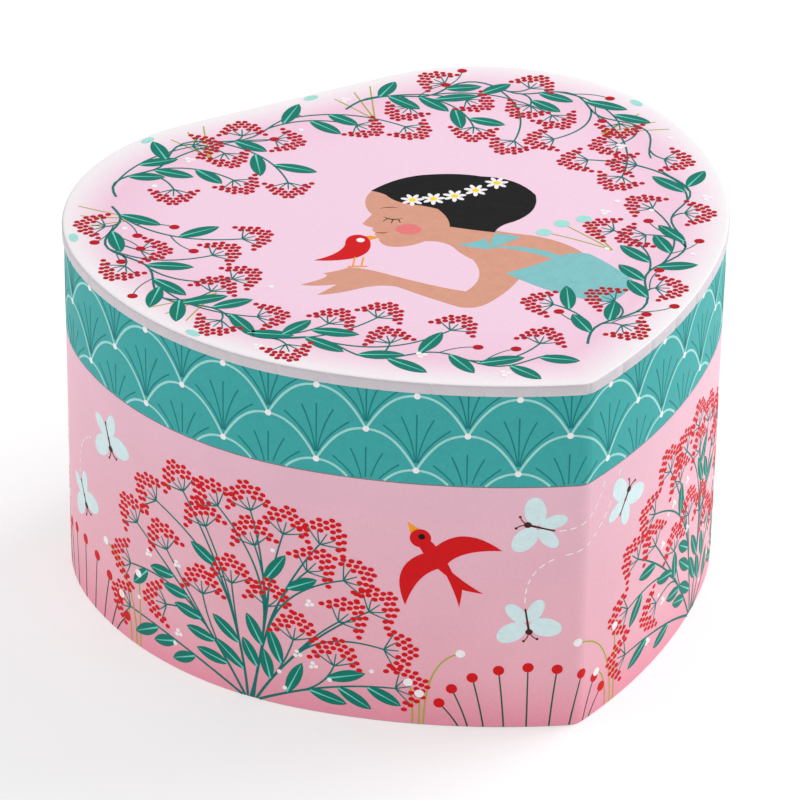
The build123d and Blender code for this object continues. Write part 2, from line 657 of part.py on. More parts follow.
with BuildPart() as spindle_pinion:
    low = plane_z(0, CYL_Y, AXIS_Z + CROWN_R - PINION_FACE / 2)
    extrude(gear_face(low, PINION_TEETH, CROWN_MODULE, 0.3, 0.5, 0.34, 0.5), amount=PINION_FACE)
    extrude(disc(low, SPINDLE_R), amount=PINION_FACE, mode=Mode.SUBTRACT)
spindle_pinion.part.label = "spindle_pinion"

with BuildPart() as turntable:
    extrude(disc(plane_z(0, CYL_Y, TABLE_Z), TABLE_R), amount=TABLE_T)
    fillet(turntable.edges().filter_by(GeomType.CIRCLE).sort_by(Axis.Z)[-1], 0.5)
turntable.part.label = "turntable"

MOUND_Z = TABLE_Z + TABLE_T
MOUND_H = 5.0
MOUND_R = 7.5
with BuildPart() as perch_mound:
    with BuildSketch(Plane(origin=(0, CYL_Y, MOUND_Z), x_dir=(1, 0, 0), z_dir=(0, -1, 0))):
        with BuildLine():
            Polyline((0, MOUND_H), (0, 0), (MOUND_R, 0))
            Spline(
                (MOUND_R, 0),
                (MOUND_R * 0.6, MOUND_H * 0.62),
                (0, MOUND_H),
                tangents=((0, 1), (-1, 0)),
            )
        make_face()
    revolve(axis=Axis((0, CYL_Y, 0), (0, 0, 1)))
perch_mound.part.label = "perch_mound"

BIRD_LONG = 7.6
BIRD_ROUND = 4.6
BIRD_Z = MOUND_Z + MOUND_H + 5.4
BIRD_TILT = 24.0
HEAD_R = 3.3
lift = math.radians(BIRD_TILT)
FORWARD = (0, -math.cos(lift), math.sin(lift))
UPWARD = (0, math.sin(lift), math.cos(lift))
HEAD_SPOT = (0, CYL_Y - BIRD_LONG * 0.66, BIRD_Z + BIRD_LONG * 0.70)
with BuildPart() as bird:
    body_plane = Plane(origin=(0, CYL_Y, BIRD_Z), x_dir=FORWARD, z_dir=(1, 0, 0))
    with BuildSketch(body_plane):
        Ellipse(BIRD_LONG, BIRD_ROUND)
        with Locations((0, -BIRD_ROUND)):
            Rectangle(3 * BIRD_LONG, 2 * BIRD_ROUND, mode=Mode.SUBTRACT)
    revolve(axis=Axis((0, CYL_Y, BIRD_Z), FORWARD))
    with Locations(HEAD_SPOT):
        Sphere(HEAD_R)
    with BuildSketch(Plane(origin=(0, CYL_Y, BIRD_Z), x_dir=FORWARD, z_dir=UPWARD)):
        with BuildLine():
            Polyline(
                (-4.0, -2.2),
                (-4.0, 2.2),
                (-13.0, 3.0),
                (-11.0, 0.0),
                (-13.0, -3.0),
                close=True,
            )
        make_face()
    extrude(amount=0.9, both=True)
    for side in (-1, 1):
        wing_plane = Plane(origin=(side * 3.6, CYL_Y, BIRD_Z), x_dir=FORWARD, z_dir=(side, 0, 0))
        with BuildSketch(wing_plane):
            with Locations((-2.0, 0.8 * side)):
                Ellipse(6.6, 2.6)
        extrude(amount=1.5)
        extrude(disc(plane_z(side * 1.5, CYL_Y, MOUND_Z + MOUND_H - 1.2), 0.4), amount=4)
bird.part.label = "bird"

with BuildPart() as bird_beak:
    beak_spot = (0, HEAD_SPOT[1] - HEAD_R + 0.35, HEAD_SPOT[2])
    with Locations(Plane(origin=beak_spot, x_dir=(1, 0, 0), z_dir=(0, -1, 0))):
        Cone(1.1, 0.15, 3.0, align=(Align.CENTER, Align.CENTER, Align.MIN))
    with Locations(HEAD_SPOT):
        Sphere(HEAD_R, mode=Mode.SUBTRACT)
bird_beak.part.label = "bird_beak"

# ================================================================ stop plunger
PAD_BOTTOM = GOV_Z + DRUM_R + PAD_GAP
PAD_T = 0.8
ARM_Z = PAD_BOTTOM + PAD_T
with BuildPart() as stop_plunger:
    with Locations((PLUNGER_X, PLUNGER_Y, (ARM_Z + PLUNGER_TOP - 1) / 2)):
        Box(PLUNGER_W, PLUNGER_D, PLUNGER_TOP - 1 - ARM_Z)
    arm_y0 = CYL_Y - 1.2
    with Locations((PLUNGER_X, (arm_y0 + PLUNGER_Y) / 2, ARM_Z + 0.6)):
        Box(PLUNGER_W, PLUNGER_Y - arm_y0, 1.2)
    with Locations((PLUNGER_X, PLUNGER_Y, PLUNGER_TOP - 0.5)):
        Box(5, 5, 1)
stop_plunger.part.label = "stop_plunger"

with BuildPart() as brake_pad:
    with Locations((PLUNGER_X, CYL_Y, PAD_BOTTOM + PAD_T / 2)):
        Box(PLUNGER_W, 2.0, PAD_T)
brake_pad.part.label = "brake_pad"

# ================================================================ export
PIECES = [
    base_wall,
    base_wrap,
    base_lining,
    bottom_panel,
    felt_floor,
    divider_cross,
    divider_center,
    stage_front,
    stage_deck,
    stage_felt,
    spindle_bushing,
    plunger_guide,
    movement_spacer,
    movement_plate,
    mounting_screws,
    key_escutcheon,
    barrel_bridge,
    bracket_left,
    bracket_right,
    bracket_outer,
    spindle_bracket,
    comb_base,
    comb,
    comb_screws,
    hinge_tape_base,
    hinge_tape_lid,
    lid_wall,
    lid_wrap,
    lid_lining,
    lid_ceiling,
    lid_top_panel,
    lid_top_print,
    mirror_glass,
    mirror_frame,
    lid_push_block,
    key_arbor,
    winding_key,
    barrel_drum,
    barrel_cap,
    mainspring,
    barrel_crown,
    cylinder_drum,
    cylinder_pins,
    cylinder_arbor,
    cylinder_pinion,
    cylinder_wheel,
    governor_arbor,
    governor_pinion,
    brake_drum,
    fan,
    spindle_rod,
    spindle_pinion,
    turntable,
    perch_mound,
    bird,
    bird_beak,
    stop_plunger,
    brake_pad,
]
for piece in PIECES:
    export_step(piece.part, f"parts/{piece.part.label}.step")
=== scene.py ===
"""Wind-up music box: printed papers, cloth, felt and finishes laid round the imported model."""

import bisect
import math
import random

import bmesh
import bpy
import numpy as np
from mathutils import Matrix, Vector, noise
from mathutils.geometry import tessellate_polygon


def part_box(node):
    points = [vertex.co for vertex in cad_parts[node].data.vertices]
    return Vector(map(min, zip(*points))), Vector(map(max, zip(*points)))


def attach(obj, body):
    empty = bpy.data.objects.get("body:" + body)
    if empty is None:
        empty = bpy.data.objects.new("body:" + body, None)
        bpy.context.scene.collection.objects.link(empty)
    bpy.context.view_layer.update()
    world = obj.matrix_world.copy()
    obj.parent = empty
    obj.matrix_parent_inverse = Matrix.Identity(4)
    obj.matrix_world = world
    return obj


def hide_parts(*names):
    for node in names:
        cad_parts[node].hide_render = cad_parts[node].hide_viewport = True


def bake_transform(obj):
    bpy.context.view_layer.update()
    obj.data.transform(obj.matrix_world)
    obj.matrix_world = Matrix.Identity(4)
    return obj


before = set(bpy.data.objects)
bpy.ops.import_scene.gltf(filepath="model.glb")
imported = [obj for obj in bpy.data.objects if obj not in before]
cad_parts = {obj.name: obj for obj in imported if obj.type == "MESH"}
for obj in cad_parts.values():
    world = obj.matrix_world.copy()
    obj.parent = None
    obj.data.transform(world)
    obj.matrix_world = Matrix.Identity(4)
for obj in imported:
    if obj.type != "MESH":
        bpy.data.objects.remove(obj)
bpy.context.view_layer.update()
chance = random.Random(7)

# ================================================================ sizes, in millimetres
MM = 0.001


def low(node):
    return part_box(node)[0] / MM


def high(node):
    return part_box(node)[1] / MM


FRONT_Y = low("base_wrap").y
BACK_Y = high("base_wrap").y
SPLIT_Z = high("base_wall").z
WRAP_TOP = high("base_wrap").z
BAND_FOOT = low("lid_wrap").z
BAND_TOP = high("lid_wrap").z
TOP_Z = high("lid_top_print").z
RIM_OUT = high("lid_top_panel").x - high("lid_wrap").x

# the casing outline runs from the front corner round to the flat back: radius and turn
ARCS = [(5.0, 20.9), (151.0, 24.9), (86.0, 48.3), (52.8, 85.9)]
SAG = 0.01


def arc_spans():
    """Each arc as start along, start point, heading, radius and length, then where the flat starts."""
    spans = []
    along, x, y, heading = 0.0, 0.0, FRONT_Y, 0.0
    for radius, turn in ARCS:
        length = radius * math.radians(turn)
        spans.append((along, x, y, heading, radius, length))
        end = heading + math.radians(turn)
        x += radius * (math.sin(end) - math.sin(heading))
        y += radius * (math.cos(heading) - math.cos(end))
        heading = end
        along += length
    return spans, along, x


SPANS, FLAT_START, FLAT_X = arc_spans()
HALF = FLAT_START + FLAT_X
ROUND = 2 * HALF


def outline_point(along, out=0.0):
    """Point at a length along the outline from the front corner, moved outwards; right is positive."""
    along = (along + HALF) % ROUND - HALF
    side = -1 if along < 0 else 1
    along = abs(along)
    if along >= FLAT_START:
        return side * (HALF - along), BACK_Y + out
    start, x, y, heading, radius, _ = next(s for s in reversed(SPANS) if s[0] <= along)
    angle = heading + (along - start) / radius
    x += radius * (math.sin(angle) - math.sin(heading)) + out * math.sin(angle)
    y += radius * (math.cos(heading) - math.cos(angle)) - out * math.cos(angle)
    return side * x, y


def stations():
    """Lengths along the whole outline at which straight facets meet, close enough to look round."""
    right = []
    for start, _, _, _, radius, length in SPANS:
        count = math.ceil(length / math.sqrt(8 * radius * SAG))
        right += [start + length * k / count for k in range(count)]
    right += [FLAT_START, FLAT_START + FLAT_X / 2]
    left = [-s for s in reversed(right[1:])]
    return [-HALF] + left + right


STATIONS = stations()
CUTS = [s - ROUND for s in STATIONS] + STATIONS + [s + ROUND for s in STATIONS]


def on_wall(along, z, out):
    x, y = outline_point(along, out)
    return x * MM, y * MM, z * MM


def on_top(x, y, out):
    return x * MM, y * MM, (TOP_Z + out) * MM


# ================================================================ materials
def rgb(red, green, blue):
    """Screen colour from 0 to 255 as linear colour."""
    def linear(value):
        value /= 255
        return value / 12.92 if value < 0.04045 else ((value + 0.055) / 1.055) ** 2.4
    return linear(red), linear(green), linear(blue), 1.0


class Finish:
    """A node material over the object's own coordinates."""

    def __init__(self, name, **sockets):
        self.material = bpy.data.materials.new(name)
        self.material.use_nodes = True
        self.tree = self.material.node_tree
        self.shader = self.tree.nodes["Principled BSDF"]
        for socket, value in sockets.items():
            self.shader.inputs[socket.replace("_", " ")].default_value = value
        self.place = self.node("ShaderNodeTexCoord").outputs["Object"]

    def node(self, kind, **settings):
        made = self.tree.nodes.new(kind)
        for key, value in settings.items():
            setattr(made, key, value)
        return made

    def join(self, source, target):
        self.tree.links.new(source, target)

    def noise(self, scale, detail=4.0, rough=0.55, stretch=(1, 1, 1)):
        """Noise with features of about 1/scale metres, drawn out where stretch is small."""
        mapping = self.node("ShaderNodeMapping")
        mapping.inputs["Scale"].default_value = stretch
        self.join(self.place, mapping.inputs["Vector"])
        made = self.node("ShaderNodeTexNoise")
        made.inputs["Scale"].default_value = scale
        made.inputs["Detail"].default_value = detail
        made.inputs["Roughness"].default_value = rough
        self.join(mapping.outputs["Vector"], made.inputs["Vector"])
        return made.outputs["Fac"]

    def ramp(self, source, stops):
        made = self.node("ShaderNodeValToRGB")
        bar = made.color_ramp
        while len(bar.elements) < len(stops):
            bar.elements.new(0.5)
        for element, (position, colour) in zip(bar.elements, stops):
            element.position = position
            element.color = colour
        self.join(source, made.inputs["Fac"])
        return made.outputs["Color"]

    def spread(self, source, start, end, to_start=0.0, to_end=1.0):
        made = self.node("ShaderNodeMapRange")
        for socket, value in zip(made.inputs[1:5], (start, end, to_start, to_end)):
            socket.default_value = value
        self.join(source, made.inputs["Value"])
        return made.outputs["Result"]

    def tint(self, colour, source, dark, light):
        """Colour made a little darker and lighter by a noise."""
        grey = self.ramp(source, [(0.3, (dark,) * 3 + (1,)), (0.7, (light,) * 3 + (1,))])
        made = self.node("ShaderNodeMix", data_type="RGBA", blend_type="MULTIPLY")
        made.inputs["Factor"].default_value = 1.0
        if isinstance(colour, tuple):
            made.inputs["A"].default_value = colour
        else:
            self.join(colour, made.inputs[6])
        self.join(grey, made.inputs[7])
        return made.outputs[2]

    def colour(self, source):
        self.join(source, self.shader.inputs["Base Color"])

    def gloss(self, source, start, end):
        self.join(self.spread(source, 0.3, 0.7, start, end), self.shader.inputs["Roughness"])

    def relief(self, source, strength, distance):
        made = self.node("ShaderNodeBump")
        made.inputs["Strength"].default_value = strength
        made.inputs["Distance"].default_value = distance
        self.join(source, made.inputs["Height"])
        self.join(made.outputs["Normal"], self.shader.inputs["Normal"])


def plain_finish(name, tone, grain, size, gloss, relief=0.3, stretch=(1, 1, 1), **sockets):
    """Finish with one tone that wanders by grain, over features of about size metres."""
    made = Finish(name, **sockets)
    broad = made.noise(0.25 / size, 3.0, 0.5, stretch)
    fine = made.noise(1 / size, 6.0, 0.6, stretch)
    first = made.tint(tone, broad, 1 - grain, 1 + grain / 2)
    made.colour(made.tint(first, fine, 1 - grain, 1 + grain / 2))
    made.gloss(broad, *gloss)
    made.relief(fine, relief, size * 0.25)
    return made.material


def print_finish(name, tone, grain=0.05):
    """Satin printing ink on coated paper."""
    return plain_finish(
        name, tone, grain, 0.0007, (0.5, 0.62), 0.12, Specular_IOR_Level=0.16
    )


def metal_finish(name, tone, gloss, stretch=(1, 1, 1), grain=0.12):
    return plain_finish(name, tone, grain, 0.0012, gloss, 0.15, stretch, Metallic=1.0)


def wall_paper(name, stops):
    """Printed wrap whose colour changes with height, with the grain of its paper."""
    made = Finish(name, Specular_IOR_Level=0.3)
    split = made.node("ShaderNodeSeparateXYZ")
    made.join(made.place, split.inputs["Vector"])
    height = made.spread(split.outputs["Z"], 0, TOP_Z * MM)
    blend = made.ramp(height, stops)
    broad = made.noise(60, 3.0)
    fine = made.noise(1500, 5.0)
    made.colour(made.tint(made.tint(blend, broad, 0.97, 1.02), fine, 0.96, 1.02))
    made.gloss(broad, 0.40, 0.52)
    made.relief(fine, 0.12, 0.0002)
    return made.material


FADE = 30.0


def top_paper(name, stops):
    """Printed cover whose colour changes with the distance from the rim."""
    made = Finish(name, Specular_IOR_Level=0.3)
    rim = made.node("ShaderNodeAttribute", attribute_name="from_rim")
    waver = made.spread(made.noise(35, 2.0), 0.0, 1.0, -0.05, 0.05)
    total = made.node("ShaderNodeMath", operation="ADD")
    made.join(rim.outputs["Fac"], total.inputs[0])
    made.join(waver, total.inputs[1])
    blend = made.ramp(total.outputs["Value"], stops)
    fine = made.noise(1500, 5.0)
    made.colour(made.tint(blend, fine, 0.97, 1.01))
    made.gloss(fine, 0.42, 0.54)
    made.relief(fine, 0.12, 0.0002)
    return made.material


def felt_finish(name, tone):
    made = Finish(name, Sheen_Weight=0.6, Sheen_Roughness=0.5, Roughness=0.95)
    fibres = made.noise(900, 8.0, 0.75, (1, 0.35, 1))
    clumps = made.noise(220, 4.0, 0.6)
    made.colour(made.tint(made.tint(tone, clumps, 0.88, 1.08), fibres, 0.75, 1.15))
    made.relief(fibres, 0.8, 0.0006)
    return made.material


def cloth_finish(name, tone):
    """Book cloth: a fine plain weave under size."""
    made = Finish(name, Sheen_Weight=0.25, Sheen_Roughness=0.5, Roughness=0.8)
    height = None
    for direction in ("X", "Z"):
        wave = made.node("ShaderNodeTexWave", bands_direction=direction)
        wave.inputs["Scale"].default_value = 900
        wave.inputs["Distortion"].default_value = 0.6
        made.join(made.place, wave.inputs["Vector"])
        if height is None:
            height = wave.outputs["Fac"]
        else:
            joined = made.node("ShaderNodeMath", operation="MULTIPLY")
            made.join(height, joined.inputs[0])
            made.join(wave.outputs["Fac"], joined.inputs[1])
            height = joined.outputs["Value"]
    made.colour(made.tint(tone, height, 0.82, 1.05))
    made.relief(height, 0.5, 0.0003)
    return made.material


def wood_finish(name, tone):
    made = Finish(name, Roughness=0.6)
    rings = made.noise(160, 3.0, 0.5, (0.12, 1, 1))
    pores = made.noise(1400, 6.0, 0.6, (0.06, 1, 1))
    made.colour(made.tint(made.tint(tone, rings, 0.82, 1.08), pores, 0.88, 1.04))
    made.relief(pores, 0.3, 0.0002)
    return made.material


def mirror_finish(name):
    made = Finish(name, Metallic=1.0)
    haze = made.noise(40, 3.0)
    made.colour(made.tint(rgb(226, 232, 232), haze, 0.97, 1.02))
    made.gloss(haze, 0.02, 0.05)
    return made.material


PINK_TOP = rgb(240, 190, 207)
PINK_FOOT = rgb(240, 150, 172)
TEAL = rgb(62, 172, 170)
SLOTS = {
    "greyboard": plain_finish("greyboard", rgb(176, 168, 156), 0.12, 0.0012, (0.8, 0.95)),
    "pink_print": wall_paper(
        "pink_print", [(0.0, PINK_FOOT), (0.16, rgb(242, 178, 192)), (0.7, PINK_TOP)]
    ),
    "teal_print": print_finish("teal_print", TEAL),
    "white_board": plain_finish("white_board", rgb(240, 238, 236), 0.04, 0.0008, (0.6, 0.75)),
    "lining_paper": print_finish("lining_paper", rgb(247, 208, 222)),
    "felt": felt_finish("felt", rgb(214, 92, 128)),
    "hinge_cloth": cloth_finish("hinge_cloth", rgb(216, 150, 172)),
    "brass": metal_finish("brass", rgb(222, 186, 110), (0.22, 0.38), (1, 0.2, 1)),
    "steel": metal_finish("steel", rgb(190, 192, 196), (0.25, 0.4), (1, 0.3, 1)),
    "spring_steel": metal_finish("spring_steel", rgb(112, 120, 140), (0.25, 0.4)),
    "zinc": metal_finish("zinc", rgb(168, 172, 176), (0.42, 0.6), grain=0.2),
    "gold_key": metal_finish("gold_key", rgb(236, 196, 112), (0.14, 0.26), grain=0.06),
    "gold_card": metal_finish("gold_card", rgb(230, 196, 128), (0.3, 0.42), grain=0.08),
    "mirror": mirror_finish("mirror"),
    "softwood": wood_finish("softwood", rgb(222, 188, 142)),
    "plastic_white": plain_finish(
        "plastic_white", rgb(240, 238, 232), 0.02, 0.0015, (0.3, 0.42), 0.08
    ),
    "plastic_black": plain_finish(
        "plastic_black", rgb(36, 36, 40), 0.08, 0.0015, (0.35, 0.5), 0.08
    ),
    "mound_paint": plain_finish("mound_paint", rgb(40, 148, 124), 0.14, 0.0015, (0.45, 0.6), 0.4),
    "bird_paint": plain_finish("bird_paint", rgb(216, 38, 36), 0.08, 0.0012, (0.28, 0.4), 0.15),
    "beak_paint": plain_finish("beak_paint", rgb(244, 160, 44), 0.06, 0.0012, (0.3, 0.42), 0.15),
    "pad_rubber": plain_finish("pad_rubber", rgb(52, 50, 50), 0.1, 0.0008, (0.75, 0.9), 0.4),
    "top_print": top_paper(
        "top_print",
        [
            (0.02, rgb(250, 244, 247)),
            (0.16, rgb(249, 228, 239)),
            (0.36, rgb(247, 204, 226)),
            (0.95, rgb(249, 213, 233)),
        ],
    ),
}

for name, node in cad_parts.items():
    own = node.data.materials[0].name if node.data.materials else ""
    slot = own.split(".")[0]
    if slot not in SLOTS:
        raise RuntimeError(f"{name} has no finish for {own}")
    node.data.materials.clear()
    node.data.materials.append(SLOTS[slot])

INKS = {
    "stem": print_finish("ink_stem", rgb(0, 118, 112)),
    "leaf": print_finish("ink_leaf", rgb(0, 124, 108)),
    "rib": print_finish("ink_rib", rgb(112, 214, 198)),
    "berry": print_finish("ink_berry", rgb(190, 0, 26)),
    "red": print_finish("ink_red", rgb(218, 4, 14)),
    "white": print_finish("ink_white", rgb(252, 248, 250)),
    "reed": print_finish("ink_reed", rgb(20, 88, 60)),
    "grass": print_finish("ink_grass", rgb(170, 176, 24)),
    "pale": print_finish("ink_pale", rgb(168, 230, 222)),
    "line": print_finish("ink_line", rgb(166, 224, 220)),
    "stroke": print_finish("ink_stroke", rgb(22, 130, 130)),
    "wing": print_finish("ink_wing", rgb(220, 242, 244)),
    "brown": print_finish("ink_brown", rgb(74, 30, 28)),
    "orange": print_finish("ink_orange", rgb(250, 164, 30)),
    "yellow": print_finish("ink_yellow", rgb(252, 224, 20)),
    "black": print_finish("ink_black", rgb(6, 6, 8), 0.15),
    "skin": print_finish("ink_skin", rgb(222, 160, 136)),
    "blush": print_finish("ink_blush", rgb(236, 126, 126)),
    "dress": print_finish("ink_dress", rgb(132, 198, 202)),
}


# ================================================================ meshes
def add_object(name, mesh, material, sharp):
    """Object from a mesh, smooth but for edges that bend more than sharp, in degrees."""
    mesh.shade_smooth()
    mesh.set_sharp_from_angle(angle=math.radians(sharp))
    mesh.materials.append(material)
    piece = bpy.data.objects.new(name, mesh)
    bpy.context.scene.collection.objects.link(piece)
    return piece


def add_piece(name, verts, faces, material, body, sharp=35.0):
    """Mesh object from points in metres, riding on a body."""
    mesh = bpy.data.meshes.new(name)
    mesh.from_pydata(verts, [], faces)
    mesh.validate()
    piece = add_object(name, mesh, material, sharp)
    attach(piece, body)
    return piece


def area(points):
    pairs = zip(points, points[1:] + points[:1])
    return sum(a[0] * b[1] - b[0] * a[1] for a, b in pairs) / 2


def clip(points, limit, keep_above):
    """Part of a convex outline on one side of a line across."""
    kept = []
    for a, b in zip(points, points[1:] + points[:1]):
        a_in = (a[0] >= limit) == keep_above or a[0] == limit
        b_in = (b[0] >= limit) == keep_above or b[0] == limit
        if a_in:
            kept.append(a)
        if a_in != b_in:
            first, last = sorted((a, b))
            share = (limit - first[0]) / (last[0] - first[0])
            kept.append((limit, first[1] + share * (last[1] - first[1])))
    return kept


class Print:
    """Artwork on one stretch of paper: flat outlines in mm, one thin closed piece for each ink."""

    def __init__(self, name, body, slot, place, curved):
        self.name = name
        self.body = body
        self.slot = slot
        self.place = place
        self.curved = curved
        self.shapes = {}

    def add(self, ink, points):
        if len(points) > 2 and abs(area(points)) > 1e-4:
            self.shapes.setdefault(ink, []).append(points)

    def cells(self, points):
        """The outline as convex cells, none of which crosses a facet of the wall."""
        if area(points) < 0:
            points = points[::-1]
        flat = [Vector((u, v, 0)) for u, v in points]
        for triple in tessellate_polygon([flat]):
            cell = [points[i] for i in triple]
            if area(cell) < 0:
                cell.reverse()
            if not self.curved:
                yield cell
                continue
            start = min(p[0] for p in cell)
            end = max(p[0] for p in cell)
            first = bisect.bisect_right(CUTS, start)
            last = bisect.bisect_left(CUTS, end)
            for k in range(first, last + 1):
                piece = cell
                if k > first:
                    piece = clip(piece, CUTS[k - 1], True)
                if k < last and len(piece) > 2:
                    piece = clip(piece, CUTS[k], False)
                if len(piece) > 2:
                    yield piece

    def build(self, heights):
        """One piece for each ink, whose shapes take turns at seven heights a hair apart."""
        for ink, shapes in self.shapes.items():
            verts, faces = [], []
            for count, points in enumerate(shapes):
                top = heights[ink] + 0.006 * (count % 7) / 7
                self.slab(points, top, verts, faces)
            piece = add_piece(f"{self.name}_{ink}", verts, faces, INKS[ink], self.body)

    def slab(self, points, top, verts, faces):
        index, cells = {}, []
        for cell in self.cells(points):
            ids = []
            for u, v in cell:
                key = (round(u, 4), round(v, 4))
                number = index.setdefault(key, len(index))
                if not ids or ids[-1] != number:
                    ids.append(number)
            if ids[0] == ids[-1]:
                ids.pop()
            if len(set(ids)) > 2:
                cells.append(ids)
        start = len(verts)
        for height in (top, -0.02):
            verts += [self.place(u, v, height) for u, v in index]
        under = start + len(index)
        edges = {(a, b) for ids in cells for a, b in zip(ids, ids[1:] + ids[:1])}
        for ids in cells:
            faces.append([start + i for i in ids])
            faces.append([under + i for i in reversed(ids)])
        for a, b in sorted(edges):
            if (b, a) not in edges:
                faces.append([start + a, under + a, under + b, start + b])


# ================================================================ strokes and shapes
def oval(centre, wide, high_half, angle=0.0, count=10):
    cos, sin = math.cos(angle), math.sin(angle)
    points = []
    for k in range(count):
        turn = 2 * math.pi * k / count
        u, v = wide * math.cos(turn), high_half * math.sin(turn)
        points.append((centre[0] + u * cos - v * sin, centre[1] + u * sin + v * cos))
    return points


def bend(start, pull, end, count=10):
    """Curve from start to end, drawn towards pull."""
    points = []
    for k in range(count + 1):
        t = k / count
        points.append(tuple(
            (1 - t) ** 2 * a + 2 * t * (1 - t) * b + t * t * c
            for a, b, c in zip(start, pull, end)
        ))
    return points


def curved(points, count=8):
    """Closed outline: places on it and the pulls between them take turns in the list."""
    made = []
    for k in range(0, len(points), 2):
        end = points[(k + 2) % len(points)]
        made += bend(points[k], points[k + 1], end, count)[:-1]
    return made


def ribbon(points, start_width, end_width=None):
    """Outline of a drawn line that narrows or widens along its way."""
    if end_width is None:
        end_width = start_width
    left, right = [], []
    last = len(points) - 1
    for k, (x, y) in enumerate(points):
        before, after = points[max(k - 1, 0)], points[min(k + 1, last)]
        dx, dy = after[0] - before[0], after[1] - before[1]
        size = math.hypot(dx, dy) or 1.0
        half = (start_width + (end_width - start_width) * k / last) / 2
        left.append((x - dy / size * half, y + dx / size * half))
        right.append((x + dy / size * half, y - dx / size * half))
    return left + right[::-1]


def step(point, angle, distance):
    return point[0] + distance * math.cos(angle), point[1] + distance * math.sin(angle)


def heading_of(start, end):
    return math.atan2(end[1] - start[1], end[0] - start[0])


# ================================================================ motifs
# each curved row: how far out it lies, its inner and outer half widths, and its shift
UMBEL_ROWS = [
    (2.4, 3.6, 6.8, 0.5), (3.9, 1.5, 7.0, 0.0), (5.4, 0.0, 5.4, 0.5), (6.9, 0.0, 4.6, 0.0),
    (8.3, 0.0, 2.0, 0.5),
]
UMBEL_DROP = 0.04
BERRY_GAP = 1.9


class Room:
    """Keeps leaves, berries and flowers clear of one another on one stretch of paper."""

    def __init__(self, allowed):
        self.allowed = allowed
        self.taken = []

    def claim(self, spots, radius):
        """Take these places if they are allowed and free."""
        for x, y in spots:
            if not self.allowed(x, y):
                return False
            if any(math.hypot(x - a, y - b) < radius + r for a, b, r in self.taken):
                return False
        self.hold(spots, radius)
        return True

    def hold(self, spots, radius):
        """Take these places whatever is there."""
        self.taken += [(x, y, radius) for x, y in spots]


def umbel(art, fork, heading, scale, berry, ink, level):
    """Domed head of berries in curved rows on a fan of short stalks."""
    def local(across, along):
        along -= UMBEL_DROP * across * across
        point = step(fork, heading, along * scale)
        return step(point, heading - math.pi / 2, across * scale)

    for across in (-5.4, -2.7, 0.0, 2.7, 5.4):
        pull = local(across * 0.5, 1.4)
        end = local(across, 3.9)
        art.add("stem", ribbon(bend(fork, pull, end, 4), 0.42 * scale, 0.3 * scale))
    for along, inner, outer, offset in UMBEL_ROWS:
        for k in range(-5, 6):
            across = (k + offset) * BERRY_GAP
            if inner <= abs(across) <= outer:
                spot = local(across, along)
                tilt = level + chance.uniform(-0.15, 0.15)
                art.add(ink, oval(spot, berry[0], berry[1], tilt, 8))


def leaf(art, base, heading, length, width):
    """Pointed leaf with a pale midrib."""
    tip = step(base, heading, length)
    side = heading + math.pi / 2
    left, right = [], []
    for k in range(1, 10):
        t = k / 10
        half = width / 2 * (1 - (2 * t - 1) ** 2) ** 0.8
        middle = step(base, heading, length * t)
        left.append(step(middle, side, half))
        right.append(step(middle, side, -half))
    art.add("leaf", [base] + right + [tip] + left[::-1])
    rib_start, rib_end = step(base, heading, length * 0.04), step(base, heading, length * 0.93)
    art.add("rib", ribbon(bend(rib_start, step(base, heading, length / 2), rib_end, 4), 0.5, 0.12))


def stalk(art, start, pull, end, width=0.38, ink="stem"):
    art.add(ink, ribbon(bend(start, pull, end), width, width * 0.8))


def white_flower(art, spot, size=0.75):
    for k in range(3):
        centre = step(spot, math.radians(90 + 120 * k + 14), size * 1.15)
        art.add("white", oval(centre, size, size * 0.9, 0, 8))


def try_leaf(art, room, base, heading, length, width):
    """A leaf, where nothing else grows."""
    spots = [step(base, heading, length * share) for share in (0.45, 0.8)]
    tip = step(base, heading, length)
    if not room.allowed(*tip) or not room.claim(spots, width * 0.5):
        return False
    room.hold([tip], 0.3)
    leaf(art, base, heading, length, width)
    return True


def leaves_along(art, room, path, gap, first, size, width):
    """Leaves on alternate sides of a stem, about gap apart."""
    travelled, due, side = 0.0, first, chance.choice((1, -1))
    for a, b in zip(path, path[1:]):
        travelled += math.dist(a, b)
        if travelled < due:
            continue
        heading = heading_of(a, b)
        length = chance.uniform(*size)
        for turn in (side, -side):
            lean = turn * chance.uniform(0.6, 0.85)
            if try_leaf(art, room, b, heading + lean, length, width):
                side = -turn
                break
        due = travelled + gap


def try_berry(art, room, start, heading, length, turn, ink, size, level):
    """Single berry at the end of a curved stalk, where nothing else grows."""
    pull = step(start, heading, length * 0.6)
    end = step(pull, heading + turn, length * 0.5)
    if not room.claim([end], size * 1.5):
        return
    room.hold([pull], 0.5)
    stalk(art, start, pull, end, 0.3)
    art.add(ink, oval(end, size, size * 0.82, level, 12))


def scatter_flowers(art, room, tries, spot_of, size):
    for k in range(tries):
        spot = spot_of()
        if room.claim([spot], 2.0 if k % 4 else 1.2):
            if k % 4:
                white_flower(art, spot, size)
            else:
                art.add("white", oval(spot, size, size, 0, 10))


BUSH_WIDE = 37.0
BUSH_HIGH = 49.0
BUSH_OUTER = 13
BUSH_RISE = 4.0
BUSH_FULL = 0.17
# lower heads: place across the fan in degrees, and how far out as a share of the outer ones
BUSH_INNER = [
    (20, 0.62), (38, 0.76), (47, 0.44), (62, 0.8), (76, 0.5), (88, 0.84), (104, 0.54),
    (112, 0.8), (130, 0.5), (138, 0.78), (158, 0.62),
]


BUSH_EDGE = 7.0
BUSH_SWEEP = 166.0


